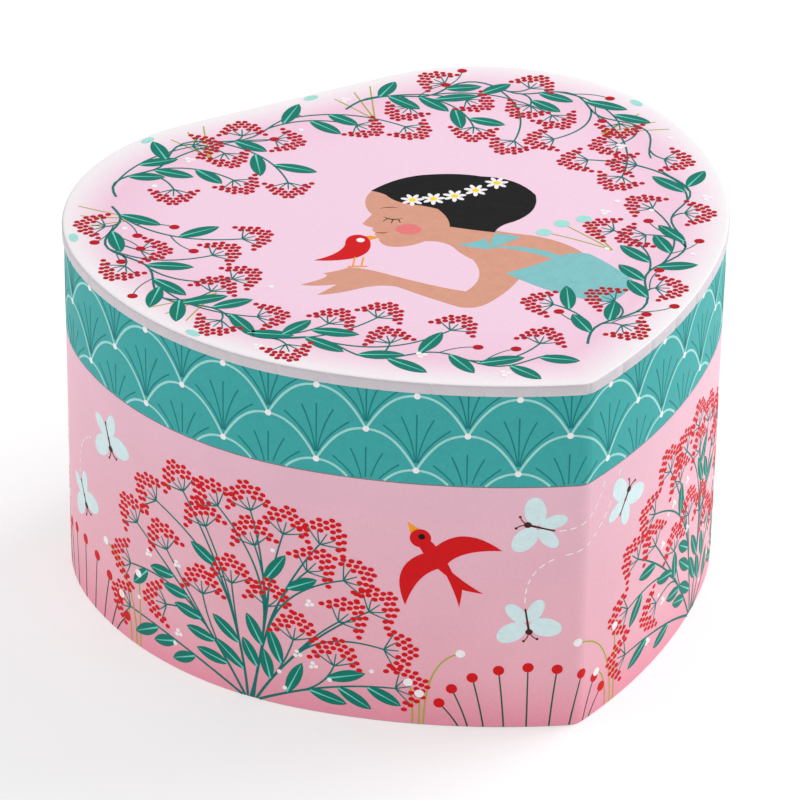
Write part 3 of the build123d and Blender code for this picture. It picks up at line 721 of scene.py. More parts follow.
def bush_head(art, room, path, lean):
    fork = path[-1]
    heading = heading_of(path[-3], fork) + lean
    umbel(art, fork, heading, 0.92, (0.78, 0.6), "red", 0.0)
    room.hold([step(fork, heading, 4.4)], 4.4)
    room.hold([step(fork, heading + t, 5.2) for t in (-1.0, 1.0)], 2.2)


def bush(art, centre):
    """Fan of thin branches from one root, each with heads of berries."""
    room = Room(lambda x, y: 1.5 < y < WRAP_TOP - 3)

    def place(degrees, reach):
        turn = math.radians(degrees)
        # the left side of each bush is fuller than the right
        if degrees > 95:
            reach *= 1 + BUSH_FULL * math.sin(math.pi * (degrees - 95) / 85)
        return (
            centre + BUSH_WIDE * reach * math.cos(turn),
            BUSH_RISE + BUSH_HIGH * reach * math.sin(turn),
        )

    def branch(start, fork, heading, thick):
        pull = step(start, heading, math.dist(start, fork) * 0.55)
        path = bend(start, pull, fork, 24)
        art.add("stem", ribbon(path, thick, 0.42))
        bush_head(art, room, path, 0.25 * math.cos(heading_of((centre, 0), fork)))
        return path

    mains, twigs = {}, []
    for k in range(0, BUSH_OUTER, 2):
        degrees = BUSH_EDGE + BUSH_SWEEP * k / (BUSH_OUTER - 1)
        root = (centre + 4.5 * (0.5 - k / (BUSH_OUTER - 1)), 0.3)
        fork = place(degrees, chance.uniform(0.95, 1.03))
        lean = 0.25 if degrees < 90 else -0.25
        mains[k] = branch(root, fork, heading_of(root, fork) + lean, 0.72)
    for k in range(1, BUSH_OUTER, 2):
        degrees = BUSH_EDGE + BUSH_SWEEP * k / (BUSH_OUTER - 1)
        fork = place(degrees, chance.uniform(0.93, 1.0))
        stem = mains[k + 1 if k < BUSH_OUTER / 2 else k - 1]
        start = stem[9]
        twigs.append(branch(start, fork, heading_of(stem[7], stem[9]), 0.55))
    for degrees, reach in BUSH_INNER:
        fork = place(degrees, reach * chance.uniform(0.96, 1.04))
        nearest = min(mains.values(), key=lambda m: math.dist(m[12], fork))
        start = nearest[3 if reach < 0.6 else 8]
        twigs.append(branch(start, fork, heading_of(nearest[2], nearest[8]), 0.5))
    for path in list(mains.values()) + twigs:
        leaves_along(art, room, path, 6.0, 7.0, (8.0, 10.5), 3.3)

    def spot_of():
        return place(chance.uniform(6, 174), math.sqrt(chance.uniform(0.03, 0.85)))

    scatter_flowers(art, room, 150, spot_of, 0.6)


# fore and hind wing: angle from the head, how far out, half length and half width
WINGS = [(1.17, 4.6, 4.1, 2.7), (2.55, 4.3, 3.5, 1.9)]


def butterfly(art, centre, heading, size=1.0):
    """Four pale petal-shaped wings, a dark body with a round head and two feelers."""
    for flip in (1, -1):
        for turn, reach, long_half, wide_half in WINGS:
            angle = heading + flip * turn
            middle = step(centre, angle, reach * size)
            art.add("wing", oval(middle, long_half * size, wide_half * size, angle, 22))
    nose, tail = step(centre, heading, 2.4 * size), step(centre, heading, -4.6 * size)
    art.add("brown", ribbon([tail, centre, nose], 0.42 * size, 0.6 * size))
    art.add("brown", oval(nose, 0.95 * size, 0.85 * size, 0, 14))
    for flip in (1, -1):
        pull = step(nose, heading + flip * 0.25, 1.8 * size)
        end = step(nose, heading + flip * 0.6, 3.0 * size)
        art.add("brown", ribbon(bend(nose, pull, end, 6), 0.26, 0.22))
        art.add("brown", oval(end, 0.34, 0.34, 0, 8))


PIN_WIDE = 21.5
PIN_RISE = 14.2
PIN_HEAD = 1.35
PIN_COUNT = 9


def pin_flowers(art, centre):
    """Row of red berries on straight stalks that opens like a fan."""
    for k in range(PIN_COUNT):
        angle = math.radians(165 - 150 * k / (PIN_COUNT - 1))
        across = PIN_WIDE * math.cos(angle)
        head = (centre + across, 3.0 + PIN_RISE * math.sin(angle))
        foot = (centre + across * 0.78, 0.3)
        stalk(art, foot, (centre + across * 0.86, head[1] * 0.5), head, 0.42, "reed")
        art.add("red", oval(head, PIN_HEAD, PIN_HEAD, 0, 16))


def grass(art, blades):
    """Yellow-green blades with white heads: where each foot stands and where its head is."""
    for foot, head in blades:
        stalk(art, (foot, 0.3), (foot, head[1] * 0.9), head, 0.42, "grass")
        art.add("white", oval(head, 1.15, 1.1, 0, 16))


DASH_STEP = 2.6
DASH_LONG = 1.5


def dashes(art, start, pull, end):
    """Dotted flight line."""
    path = bend(start, pull, end, 60)
    travelled = [0.0]
    for a, b in zip(path, path[1:]):
        travelled.append(travelled[-1] + math.dist(a, b))
    count = int(travelled[-1] / DASH_STEP)
    for k in range(count):
        ends = []
        for reach in (k * DASH_STEP, k * DASH_STEP + DASH_LONG):
            i = min(bisect.bisect_left(travelled, reach), len(path) - 1)
            ends.append(path[i])
        if ends[0] != ends[1]:
            art.add("white", ribbon(ends, 0.3))


SWALLOW_LONG = 18.0
SWALLOW_WING = 15.0
SWALLOW_HEADING = math.radians(126)


def swallow(art, centre, mirror=1):
    """Red bird in flight: a spindle body on a slant, two swept wings and a forked tail."""
    def local(along, aside):
        """Along the body from the middle towards the head, and aside to the bird's left."""
        u, v = step(step((0, 0), SWALLOW_HEADING, along), SWALLOW_HEADING + math.pi / 2, aside)
        return centre[0] + mirror * u, centre[1] + v

    half, wing = SWALLOW_LONG / 2, SWALLOW_WING
    body = [local(half, 0), local(half * 0.4, 3.6), local(-half * 0.9, 0), local(half * 0.4, -3.6)]
    art.add("red", curved(body, 12))
    art.add("red", oval(local(half - 2.4, 0), 2.5, 2.5, 0, 20))
    for flip in (1, -1):
        shoulder, hip = local(2.6, flip * 0.6), local(-2.8, flip * 0.4)
        tip = local(-wing * 0.45, flip * wing * 0.92)
        lead, trail = local(wing * 0.34, flip * wing * 0.72), local(-0.6, flip * wing * 0.4)
        art.add("red", curved([shoulder, lead, tip, trail, hip, local(0, 0)], 12))
        fork = local(-half - 5.0, flip * 3.4)
        edge, notch = local(-half, flip * 1.4), local(-half - 1.6, 0)
        art.add("red", curved([hip, edge, fork, notch, local(-half - 1.2, 0), local(-4, 0)], 10))
    beak = [local(half - 0.4, 1.3), local(half - 0.4, -1.3), local(half + 2.8, 0)]
    art.add("orange", beak)
    art.add("black", oval(local(half - 2.2, -0.5), 0.8, 0.78, 0, 14))


# ================================================================ print on the base
BUSHES = [-79.0, 57.0, 176.0, -198.0]
BEDS = [-12.0, -139.0, 117.0, HALF - 10]
base_art = Print("base_art", "base", "pink_print", on_wall, True)
for middle in BUSHES:
    bush(base_art, middle)
for middle in BEDS:
    pin_flowers(base_art, middle)
    left_blades = [(-27.0, (-28.2, 12.0)), (-25.4, (-25.5, 9.0)), (-24.4, (-16.0, 21.0))]
    right_blades = [(22.5, (18.6, 12.0)), (24.5, (11.7, 23.6)), (26.0, (25.5, 21.5))]
    grass(base_art, [(middle + foot, (middle + x, z)) for foot, (x, z) in left_blades])
    grass(base_art, [(middle + foot, (middle + x, z)) for foot, (x, z) in right_blades])
swallow(base_art, (BEDS[0] - 22.0, 47.4))
swallow(base_art, (BEDS[2], 52.0), -1)
butterfly(base_art, (-12.4, 29.6), math.radians(-81), 0.95)
butterfly(base_art, (-10.9, 56.6), math.radians(164), 0.95)
butterfly(base_art, (16.0, 56.0), math.radians(58), 0.95)
dashes(base_art, (-5.8, 55.3), (4.5, 56.0), (7.5, 67.0))
dashes(base_art, (-13.2, 35.5), (-13.6, 46.0), (-4.0, 48.5))
dashes(base_art, (-4.0, 48.5), (9.0, 51.5), (13.5, 67.0))
for middle in BEDS[1:3]:
    butterfly(base_art, (middle, 29.6), math.radians(-60), 0.95)
butterfly(base_art, (BEDS[1] + 14.0, 53.5), math.radians(-70), 0.98)
dashes(base_art, (BEDS[1] - 2.5, 35.0), (BEDS[1] - 3.0, 48.0), (BEDS[1] + 8.0, 50.0))
BASE_HEIGHTS = {
    "stem": 0.02, "grass": 0.02, "reed": 0.02, "wing": 0.03, "leaf": 0.03, "red": 0.045,
    "rib": 0.04, "white": 0.055, "brown": 0.045, "orange": 0.04, "black": 0.06,
}
base_art.build(BASE_HEIGHTS)

# ================================================================ scales on the band
SCALE_COUNT = 21
SCALE_WIDE = ROUND / SCALE_COUNT
SCALE_HIGH = 10.0
SCALE_FOOT = 61.2
SCALE_SHIFT = -3.95
# each stroke of the fan over a dot: how far aside and how high its tip is
FAN = [(-7.8, 11.6), (-3.6, 14.2), (0.0, 15.0), (4.0, 13.9), (7.8, 11.2)]
ARCH_POWER = 2.3
band_art = Print("band_art", "lid", "teal_print", on_wall, True)


def inside_band(points, margin=0.05):
    low_z, high_z = BAND_FOOT + margin, BAND_TOP - margin
    return [p for p in points if low_z <= p[1] <= high_z]


def arch_over(middle, foot):
    """Low arch that springs from one dot and lands on the next."""
    points = []
    for j in range(61):
        share = 2 * j / 60 - 1
        rise = SCALE_HIGH * (1 - abs(share) ** ARCH_POWER)
        points.append((middle + share * SCALE_WIDE / 2, foot + rise))
    return points


for row in range(4):
    row_z = SCALE_FOOT + SCALE_HIGH * row
    for k in range(SCALE_COUNT):
        dot = SCALE_SHIFT + SCALE_WIDE * (k + (row % 2) / 2)
        middle = dot + SCALE_WIDE / 2
        arch = arch_over(middle, row_z)
        if row == 0:
            runs = [inside_band(arch)]
        elif row == 3:
            runs = [inside_band(arch[:31]), inside_band(arch[31:])]
        else:
            runs = [arch]
        for run in runs:
            if len(run) > 1:
                band_art.add("line", ribbon(run, 0.6))
        if BAND_FOOT < row_z < BAND_TOP - 0.8:
            band_art.add("white", oval((dot, row_z), 0.8, 0.8, 0, 14))
        for aside, rise in FAN:
            start = (dot + aside * 0.05, row_z + 2.0)
            pull = (dot + aside * 0.28, row_z + rise * 0.62)
            reach = inside_band(bend(start, pull, (dot + aside, row_z + rise), 20))
            if len(reach) > 1:
                band_art.add("stroke", ribbon(reach, 0.3, 0.36))
band_art.build({"line": 0.03, "white": 0.05, "stroke": 0.02})

# ================================================================ cover of the lid
SHEET_SHARP = 50.0
COVER_OUT = RIM_OUT + 0.25
COVER_ROUND = 0.7
COVER_IN = 0.22
TUCK_STEP = 12.0
TUCK_DEEP = 0.2
TUCK_HALF = 0.5


def tuck(along):
    """How deep the folded edge dips at a place, for one crease at each step."""
    near = abs((along + TUCK_STEP / 2) % TUCK_STEP - TUCK_STEP / 2)
    return TUCK_DEEP * max(0.0, 1 - near / TUCK_HALF)


# white rim paper painted grey-white: painted shade on the side and rounded edge of the lid's rim
RIM_PAPER_PAINTED_SHADE = plain_finish(
    "rim_paper_painted_shade", rgb(214, 207, 213), 0.03, 0.0009, (0.5, 0.65), 0.2, Specular_IOR_Level=0.3
)


def lid_cover():
    """Printed sheet wrapped over the top board: side, rounded edge, top, and the inner side."""
    columns = set(STATIONS)
    for k in range(int(ROUND / TUCK_STEP)):
        for nudge in (-TUCK_HALF, -0.12, 0.12, TUCK_HALF):
            columns.add(TUCK_STEP * (k - int(HALF / TUCK_STEP)) + nudge)
    columns = sorted(c for c in columns if -HALF <= c < HALF)
    foot = BAND_TOP + 0.05
    shoulder = TOP_Z - COVER_ROUND
    rows = [(COVER_IN, foot, 0.0), (COVER_OUT, foot, 1.0), (COVER_OUT, shoulder - 0.9, 1.0)]
    for k in range(6):
        turn = math.radians(90 * k / 5)
        out = COVER_OUT - COVER_ROUND + COVER_ROUND * math.cos(turn)
        rows.append((out, shoulder + COVER_ROUND * math.sin(turn), 1 - k / 5))
    verts, faces, rim = [], [], []
    for out, z, dip in rows:
        for c in columns:
            x, y = outline_point(c, out - dip * tuck(c))
            verts.append((x, y, z))
            rim.append(0.0)
    count = len(columns)
    edge = verts[-count:]
    line = np.array([(x, y) for x, y, _ in edge])
    for share in (0.985, 0.96, 0.93, 0.9, 0.86, 0.82, 0.77, 0.7, 0.6, 0.45, 0.25):
        for x, y, _ in edge:
            here = np.array((x, y)) * share
            verts.append((here[0], here[1], TOP_Z))
            rim.append(float(np.sqrt(((line - here) ** 2).sum(1)).min()))
    levels = len(verts) // count
    for level in range(levels - 1):
        for k in range(count):
            a, b = level * count + k, level * count + (k + 1) % count
            faces.append([a, b, b + count, a + count])
    faces.append([(levels - 1) * count + k for k in range(count)])
    under = len(verts)
    for c in columns:
        x, y = outline_point(c, COVER_IN)
        verts.append((x, y, TOP_Z - 0.2))
        rim.append(0.0)
    for k in range(count):
        a, b = k, (k + 1) % count
        faces.append([b, a, under + a, under + b])
    faces.append([under + k for k in reversed(range(count))])
    metres = [(x * MM, y * MM, z * MM) for x, y, z in verts]
    piece = add_piece("lid_cover", metres, faces, SLOTS["top_print"], "lid", SHEET_SHARP)
    # the foot, the side and the lower part of the rounded edge take the grey rim paper, whose grey is
    # painted shade
    piece.data.materials.append(RIM_PAPER_PAINTED_SHADE)
    for face in piece.data.polygons[: 6 * count]:
        face.material_index = 1
    layer = piece.data.attributes.new("from_rim", "FLOAT", "POINT")
    layer.data.foreach_set("value", [value / FADE for value in rim])
    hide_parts("lid_top_print")


lid_cover()

# ================================================================ wreath on the lid
VIEW_TURN = math.radians(-28.5)
top_art = Print("top_art", "lid", "top_print", on_top, False)


def picture(u, v):
    """Point of the picture, turned to face the front left, as a point of the lid."""
    cos, sin = math.cos(VIEW_TURN), math.sin(VIEW_TURN)
    return u * cos - v * sin, u * sin + v * cos


# main vines follow the rim: where each starts and ends along it, and how far inside they run
VINE_INSET = 11.0
VINE_SWAY = 2.6
VINE_WAVE = 31.0
VINE_POINT_GAP = 2.5
VINE_SPANS = [(-168.0, -8.0), (-174.0, -246.0), (14.0, 112.0), (236.0, 120.0)]
# sprigs leave a vine in turn: side, length and lean, the inside of the ring counting as 1
SPRIG_STEP = 5.0
SPRIG_REACH = [(1, 29.0, 0.8), (-1, 6.0, 0.8), (1, 12.0, 1.2), (1, 20.0, 1.0)]


def inside_rim(along, inset):
    return outline_point(along, -inset)


def vine(start, end):
    """Line that sways as it follows the rim."""
    count = int(abs(end - start) / VINE_POINT_GAP)
    points = []
    for k in range(count + 1):
        along = start + (end - start) * k / count
        sway = VINE_SWAY * math.sin(2 * math.pi * (along - start) / VINE_WAVE)
        points.append(inside_rim(along, VINE_INSET + sway))
    return points


# where the picture stands, as circles in its own directions
PICTURE_ROOM = [
    (4, 13, 19), (-8, 6, 12), (20, 16, 9), (-20, -8, 8), (-27, -26, 6), (-14, -22, 5), (-4, -26, 4),
    (4, -30, 4), (14, -20, 8), (22, -6, 11), (34, -14, 9), (6, -12, 8),
]
RIM_MARGIN = 2.4
RIM_LINE = np.array([outline_point(s) for s in STATIONS])


def on_lid(x, y):
    """Whether a place is on the lid and clear of its rim."""
    if np.sqrt(((RIM_LINE - (x, y)) ** 2).sum(1)).min() < RIM_MARGIN:
        return False
    ahead = np.roll(RIM_LINE, -1, 0)
    crossing = (RIM_LINE[:, 1] > y) != (ahead[:, 1] > y)
    rise = np.where(ahead[:, 1] == RIM_LINE[:, 1], 1.0, ahead[:, 1] - RIM_LINE[:, 1])
    at = RIM_LINE[:, 0] + (y - RIM_LINE[:, 1]) * (ahead[:, 0] - RIM_LINE[:, 0]) / rise
    return int((crossing & (at > x)).sum()) % 2 == 1


def head_room(fork, heading):
    """Places that a head of berries takes up."""
    sides = [step(fork, heading + turn, 5.0) for turn in (-1.0, 1.0)]
    return [step(fork, heading, 4.0), step(fork, heading, 7.4)] + sides


def sprigs_along(art, room, path, inward):
    """Stalks with heads of berries that leave a vine on both sides, where there is room."""
    grown = []
    stride = round(SPRIG_STEP / VINE_POINT_GAP)
    for number, k in enumerate(range(2, len(path) - 2, stride)):
        way, reach, lean = SPRIG_REACH[number % len(SPRIG_REACH)]
        start, along = path[k], heading_of(path[k - 1], path[k + 1])
        turn = way * inward * lean * chance.uniform(0.85, 1.15)
        for share in (1.0, 0.85, 0.7, 0.5):
            length = reach * share * chance.uniform(0.9, 1.1)
            pull = step(start, along + turn * 0.35, length * 0.55)
            fork = step(start, along + turn, length)
            heading = heading_of(pull, fork) + turn * 0.3
            if room.claim(head_room(fork, heading), 1.9):
                stem = bend(start, pull, fork, 16)
                grown.append(stem)
                art.add("stem", ribbon(stem, 0.5, 0.4))
                umbel(art, fork, heading, 0.86, (0.7, 0.62), "berry", VIEW_TURN)
                break
    return grown


def wreath(art):
    """Ring of berry sprigs round the picture, on vines that run along the rim."""
    room = Room(on_lid)
    for u, v, radius in PICTURE_ROOM:
        room.hold([picture(u, v)], radius)
    paths = []
    for start, end in VINE_SPANS:
        path = vine(start, end)
        art.add("stem", ribbon(path, 0.62, 0.44))
        room.hold(path[::2], 0.1)
        paths.append(path)
    stems = []
    for (start, end), path in zip(VINE_SPANS, paths):
        stems += sprigs_along(art, room, path, 1 if end > start else -1)
    for path in paths + stems:
        leaves_along(art, room, path, 6.0, 4.0, (9.0, 11.5), 3.8)
    for number, path in enumerate(paths + stems):
        for k in range(3, len(path) - 4, 5):
            side = 1 if (number + k) % 2 else -1
            away = heading_of(path[k], path[k + 1]) + side * 0.9
            try_berry(art, room, path[k], away, 9.0, -side * 0.7, "berry", 1.25, VIEW_TURN)

    def spot_of():
        start, end = chance.choice(VINE_SPANS)
        return inside_rim(chance.uniform(start, end), chance.uniform(4.0, 30.0))

    scatter_flowers(art, room, 90, spot_of, 0.7)


wreath(top_art)
# tufts of grass: where along the rim each stands; the one with pale heads stands by the shoulder
TUFTS = [-215.0, -160.0, -105.0, 140.0, 232.0]
TUFT_SPREAD = (-7.0, -2.0, 4.0)
for along in TUFTS:
    foot = inside_rim(along, 19.0)
    for number, aside in enumerate(TUFT_SPREAD):
        end = inside_rim(along + aside, 3.0 + number)
        stalk(top_art, foot, inside_rim(along + aside / 2, 11.0), end, 0.4, "grass")
    tick = inside_rim(along + 9.0, 1.8)
    edge = heading_of(inside_rim(along + 8.0, 1.8), inside_rim(along + 10.0, 1.8))
    top_art.add("pale", oval(tick, 2.0, 1.1, edge, 14))
SHOULDER_TUFT = (43.0, -6.0)
SHOULDER_LEAN = math.radians(125)
for spread, reach in ((0.15, 17.0), (-0.2, 16.0), (0.5, 18.0)):
    foot = picture(*SHOULDER_TUFT)
    end = picture(*step(SHOULDER_TUFT, SHOULDER_LEAN + spread, reach))
    pull = ((foot[0] + end[0]) / 2, (foot[1] + end[1]) / 2 + 1.5)
    stalk(top_art, foot, pull, end, 0.4, "grass")
    top_art.add("pale", oval(end, 1.9, 1.7, VIEW_TURN, 18))

# ================================================================ picture on the lid
def lay(ink, outline):
    """Outline in the picture's own directions, on the lid."""
    top_art.add(ink, [picture(u, v) for u, v in outline])


def draw(ink, points):
    lay(ink, curved(points))


def daisy(centre, size):
    for k in range(7):
        angle = 2 * math.pi * k / 7 + 0.2
        middle = step(centre, angle, size * 0.58)
        lay("white", oval(middle, size * 0.44, size * 0.2, angle, 10))
    lay("yellow", oval(centre, size * 0.3, size * 0.3, 0, 12))


def figure():
    """Girl in profile with her hair up, a bird on her hand; a plain face with its eye closed."""
    draw("skin", [
        (-14.4, 20.6), (-16.6, 17.4), (-15.6, 12.6), (-15.0, 10.6), (-14.2, 9.4),
        (-15.2, 7.2), (-16.4, 4.9), (-15.6, 3.4), (-13.8, 3.1), (-14.5, 1.9),
        (-13.2, 0.6), (-13.9, -0.4), (-12.4, -1.8), (-12.6, -4.4), (-10.2, -5.8),
        (-6.0, -6.8), (-1.6, -3.2), (2.4, -2.4), (5.2, -5.6), (7.0, -9.0),
        (10.0, -11.6), (13.6, -20.0), (8.2, -26.4), (2.0, -25.0), (-9.4, -19.4),
        (-14.6, -16.6), (-19.2, -16.0), (-22.0, -18.0), (-25.4, -19.0), (-22.0, -20.2),
        (-30.4, -24.4), (-28.4, -25.4), (-22.0, -24.0), (-24.0, -26.4), (-26.6, -29.0),
        (-22.0, -28.6), (-16.4, -25.6), (-12.0, -23.6), (-8.0, -24.6), (0.0, -30.0),
        (6.6, -33.6), (10.6, -34.6), (13.4, -31.6), (18.6, -26.0), (21.4, -18.6),
        (30.0, -14.0), (37.4, -9.4), (33.0, -2.4), (24.0, 0.4), (17.0, 1.6), (13.8, 3.2),
        (14.0, 12.0), (0.0, 22.0), (-10.0, 24.0),
    ])
    draw("dress", [
        (17.6, -17.6), (27.0, -12.6), (31.0, -8.6), (35.0, -7.0), (37.6, -8.0),
        (43.0, -13.0), (47.4, -20.0), (46.6, -26.0), (42.0, -30.4), (30.0, -29.0),
    ])
    draw("dress", [
        (6.0, -4.4), (9.6, -4.0), (13.0, -1.2), (13.6, -3.6), (14.0, -6.6), (10.0, -6.2),
    ])
    draw("dress", [
        (13.6, -6.6), (14.0, -3.0), (15.2, 1.0), (18.0, 1.0), (21.4, -0.6), (17.0, -4.0),
    ])
    draw("dress", [
        (13.6, -5.4), (24.0, -3.6), (31.4, -9.6), (30.6, -10.6), (30.4, -11.6), (23.0, -6.4),
    ])
    draw("black", [
        (-14.6, 20.8), (-8.0, 28.6), (0.0, 29.4), (7.0, 30.4), (12.0, 28.8),
        (21.0, 28.6), (25.2, 20.0), (26.2, 11.6), (19.6, 6.8), (15.8, 4.8),
        (15.2, 1.6), (11.0, 2.2), (4.4, 4.0), (4.6, 8.0), (1.6, 12.4),
        (-1.0, 13.8), (-5.0, 14.6), (-9.0, 15.4), (-11.0, 19.0), (-12.8, 20.4),
    ])
    draw("skin", [(4.6, 10.6), (6.8, 11.0), (6.6, 7.6), (6.2, 4.8), (4.4, 5.2), (3.0, 7.2)])
    for k in range(5):
        share = k / 4
        daisy((-4.6 + 20.4 * share, 16.6 + 9.0 * share - 2.2 * math.sin(math.pi * share)), 2.9)
    lay("blush", oval((-5.4, 2.4), 3.1, 2.5, 0, 20))
    draw("black", [(-11.6, 8.4), (-9.6, 5.6), (-6.6, 7.8), (-9.4, 6.4)])
    lashes = [
        ((-10.6, 7.2), (-11.6, 6.0)), ((-9.2, 6.7), (-9.6, 5.2)), ((-7.8, 6.9), (-7.4, 5.5)),
    ]
    for lash in lashes:
        lay("black", ribbon(lash, 0.3, 0.15))
    draw("brown", [(-12.6, 12.0), (-10.4, 13.8), (-7.8, 12.6), (-10.4, 13.2)])
    draw("berry", [(-13.2, 0.7), (-11.6, -0.2), (-10.2, 0.9), (-11.6, 0.4)])


def songbird():
    """Red bird that stands on the hand, with a plain round eye."""
    draw("red", [
        (-27.6, -13.0), (-21.4, -10.0), (-20.4, -5.4), (-20.6, -1.0), (-17.6, -0.6),
        (-14.6, -0.8), (-14.4, -4.4), (-14.0, -9.0), (-17.6, -11.4), (-21.6, -13.4),
    ])
    draw("orange", [
        (-15.4, -1.2), (-14.0, -0.8), (-12.4, -1.8), (-13.6, -2.4), (-14.7, -3.0), (-15.2, -2.0),
    ])
    for foot in (-18.4, -16.4):
        leg = ribbon([(foot + 0.4, -11.2), (foot, -15.4)], 0.35)
        toes = ribbon([(foot - 1.2, -15.7), (foot + 1.4, -15.4)], 0.35)
        for line in (leg, toes):
            lay("orange", line)
    for size, ink in ((1.0, "white"), (0.6, "black")):
        lay(ink, oval((-16.8, -3.2), size, size, 0, 14))


figure()
songbird()
TOP_HEIGHTS = {
    "grass": 0.02, "skin": 0.03, "dress": 0.04, "stem": 0.05, "leaf": 0.06, "rib": 0.07,
    "black": 0.055, "pale": 0.05, "white": 0.075, "berry": 0.08, "red": 0.06,
    "orange": 0.065, "yellow": 0.085, "blush": 0.045, "brown": 0.045,
}
top_art.build(TOP_HEIGHTS)

# ================================================================ cloth hinge
CLOTH_COLUMNS = 51
CLOTH_FRAY = 0.04
TAPE_LOW, TAPE_HIGH = low("hinge_tape_base"), high("hinge_tape_lid")
TAPE_REST_Z = high("hinge_tape_base").z


def hinge_cloth():
    """One strip of book cloth glued across the joint at the flat back, free along the joint."""
    free = SPLIT_Z - TAPE_REST_Z
    rows = [TAPE_LOW.z, TAPE_LOW.z + 0.4]
    rows += [TAPE_REST_Z - 3.0, TAPE_REST_Z - 0.6]
    rows += [SPLIT_Z + free * (k / 8 - 1) for k in range(17)]
    rows += [SPLIT_Z + free + 0.6, SPLIT_Z + free + 3.0, TAPE_HIGH.z - 0.4, TAPE_HIGH.z]
    columns = CLOTH_COLUMNS
    verts, faces = [], []
    for out in (0.05, TAPE_HIGH.y - BACK_Y):
        for z in rows:
            for k in range(columns):
                x = TAPE_LOW.x + (TAPE_HIGH.x - TAPE_LOW.x) * k / (columns - 1)
                fray = CLOTH_FRAY * math.sin(k * 1.9) if z in (rows[0], rows[-1]) else 0.0
                verts.append((x * MM, (BACK_Y + out) * MM, (z + fray) * MM))
    layer = len(rows) * columns
    for r in range(len(rows) - 1):
        for k in range(columns - 1):
            a = r * columns + k
            faces.append([a, a + 1, a + columns + 1, a + columns])
            b = a + layer
            faces.append([b, b + columns, b + columns + 1, b + 1])
    for r in range(len(rows) - 1):
        for k in (0, columns - 1):
            a, b = r * columns + k, (r + 1) * columns + k
            side = [a, b, b + layer, a + layer]
            faces.append(side if k == 0 else side[::-1])
    for k in range(columns - 1):
        for r in (0, len(rows) - 1):
            a = r * columns + k
            side = [a, a + layer, a + layer + 1, a + 1]
            faces.append(side if r == 0 else side[::-1])
    mesh = bpy.data.meshes.new("hinge_cloth")
    mesh.from_pydata(verts, [], faces)
    piece = add_object("hinge_cloth", mesh, SLOTS["hinge_cloth"], SHEET_SHARP)
    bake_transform(piece)
    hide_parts("hinge_tape_base", "hinge_tape_lid")


hinge_cloth()

# ================================================================ felt
FELT_MESH = 4 * MM
FELT_PILE = 0.12 * MM
FELT_EDGE = 0.25 * MM


def felt_sheet(node):
    """Cut sheet of felt laid flat: its pile isn't quite level, and its cut edge is soft."""
    work = bmesh.new()
    work.from_mesh(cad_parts[node].data)
    bmesh.ops.remove_doubles(work, verts=work.verts, dist=1e-6)
    bmesh.ops.triangulate(work, faces=work.faces)
    while any(edge.calc_length() > FELT_MESH for edge in work.edges):
        long_edges = [edge for edge in work.edges if edge.calc_length() > FELT_MESH]
        bmesh.ops.subdivide_edges(work, edges=long_edges, cuts=1)
        bmesh.ops.triangulate(work, faces=work.faces)
    work.normal_update()
    top = max(vert.co.z for vert in work.verts)
    flat_area = sum(face.calc_area() for face in work.faces if face.normal.z > 0.9)
    for vert in work.verts:
        if vert.co.z < top - 0.01 * MM:
            continue
        if all(face.normal.z > 0.9 for face in vert.link_faces):
            vert.co.z += FELT_PILE * noise.noise(vert.co * 160)
        else:
            vert.co.z -= FELT_EDGE
    mesh = bpy.data.meshes.new(f"{node}_sheet")
    work.to_mesh(mesh)
    work.free()
    piece = add_object(f"{node}_sheet", mesh, SLOTS["felt"], SHEET_SHARP)
    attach(piece, "base")
    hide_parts(node)


felt_sheet("felt_floor")
felt_sheet("stage_felt")

# ================================================================ camera, light and floor
CAMERA_TURN = math.radians(28.525)
CAMERA_PITCH = math.radians(31.69)
CAMERA_ROLL = math.radians(0.9074)
CAMERA_FAR = 1.23993
CAMERA_LENS = 229.5
CAMERA_AIM = Vector((-0.005987, 0.003255, 0.048574))


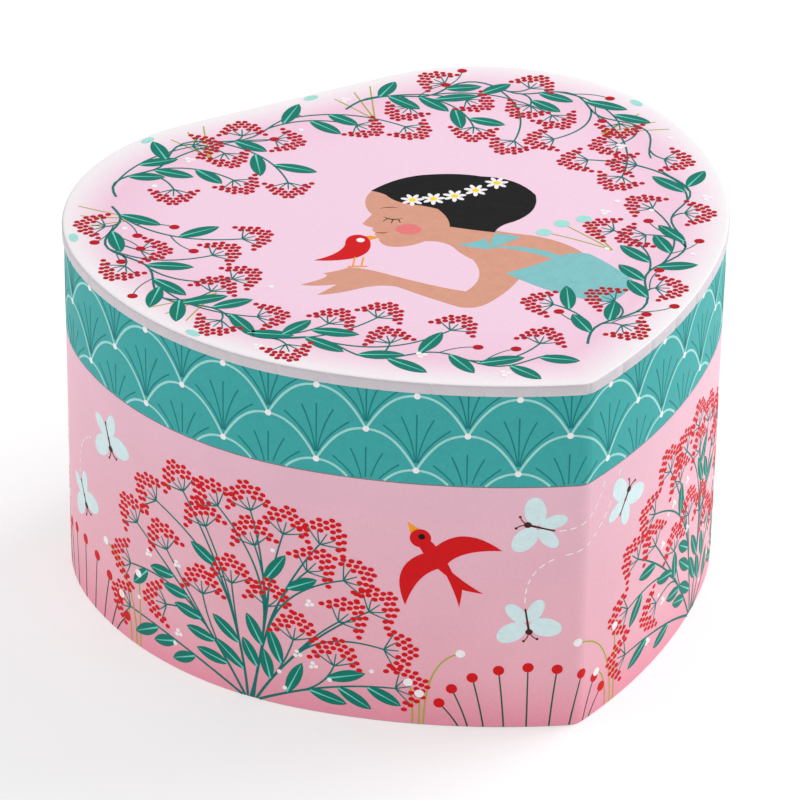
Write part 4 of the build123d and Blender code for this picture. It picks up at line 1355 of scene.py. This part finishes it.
def add_camera():
    cos_t, sin_t = math.cos(CAMERA_TURN), math.sin(CAMERA_TURN)
    cos_p, sin_p = math.cos(CAMERA_PITCH), math.sin(CAMERA_PITCH)
    forward = Vector((cos_p * sin_t, cos_p * cos_t, -sin_p))
    across = Vector((cos_t, -sin_t, 0))
    upward = Vector((sin_p * sin_t, sin_p * cos_t, cos_p))
    cos_r, sin_r = math.cos(CAMERA_ROLL), math.sin(CAMERA_ROLL)
    right = across * cos_r + upward * sin_r
    up = upward * cos_r - across * sin_r
    data = bpy.data.cameras.new("camera")
    data.lens = CAMERA_LENS
    data.sensor_width = 36.0
    data.clip_start, data.clip_end = 0.01, 20.0
    camera = bpy.data.objects.new("camera", data)
    turn = Matrix((right, up, -forward)).transposed().to_4x4()
    camera.matrix_world = Matrix.Translation(CAMERA_AIM - forward * CAMERA_FAR) @ turn
    bpy.context.scene.collection.objects.link(camera)
    bpy.context.scene.camera = camera


def add_light(name, spot, power, size):
    data = bpy.data.lights.new(name, "AREA")
    data.energy, data.size = power, size
    light = bpy.data.objects.new(name, data)
    light.location = spot
    light.rotation_mode = "QUATERNION"
    light.rotation_quaternion = (Vector((0, 0, 0.04)) - Vector(spot)).to_track_quat("-Z", "Y")
    bpy.context.scene.collection.objects.link(light)


def add_floor():
    """Pale floor: flat under the box and reaching far round it."""
    mesh = bpy.data.meshes.new("floor")
    reach = 6.0
    corners = [(-reach, -reach, 0), (reach, -reach, 0), (reach, reach, 0), (-reach, reach, 0)]
    mesh.from_pydata(corners, [], [(0, 1, 2, 3)])
    mesh.materials.append(
        plain_finish(
            "floor", (0.55, 0.555, 0.56, 1), 0.006, 0.02, (0.85, 0.95), 0.02,
            Emission_Color=(1, 1, 1, 1), Emission_Strength=0.5,
        )
    )
    floor = bpy.data.objects.new("floor", mesh)
    bpy.context.scene.collection.objects.link(floor)


def add_world(strength):
    world = bpy.data.worlds.new("studio")
    world.use_nodes = True
    sky = world.node_tree.nodes["Background"]
    sky.inputs["Color"].default_value = (1.0, 1.0, 1.0, 1.0)
    sky.inputs["Strength"].default_value = strength
    bpy.context.scene.world = world


add_camera()
add_floor()
add_world(0.6)
add_light("key", (1.6, 0.1, 1.1), 27.0, 1.4)
add_light("fill", (-1.5, 0.9, 0.8), 6.0, 1.4)
bpy.context.scene.view_settings.view_transform = "Standard"
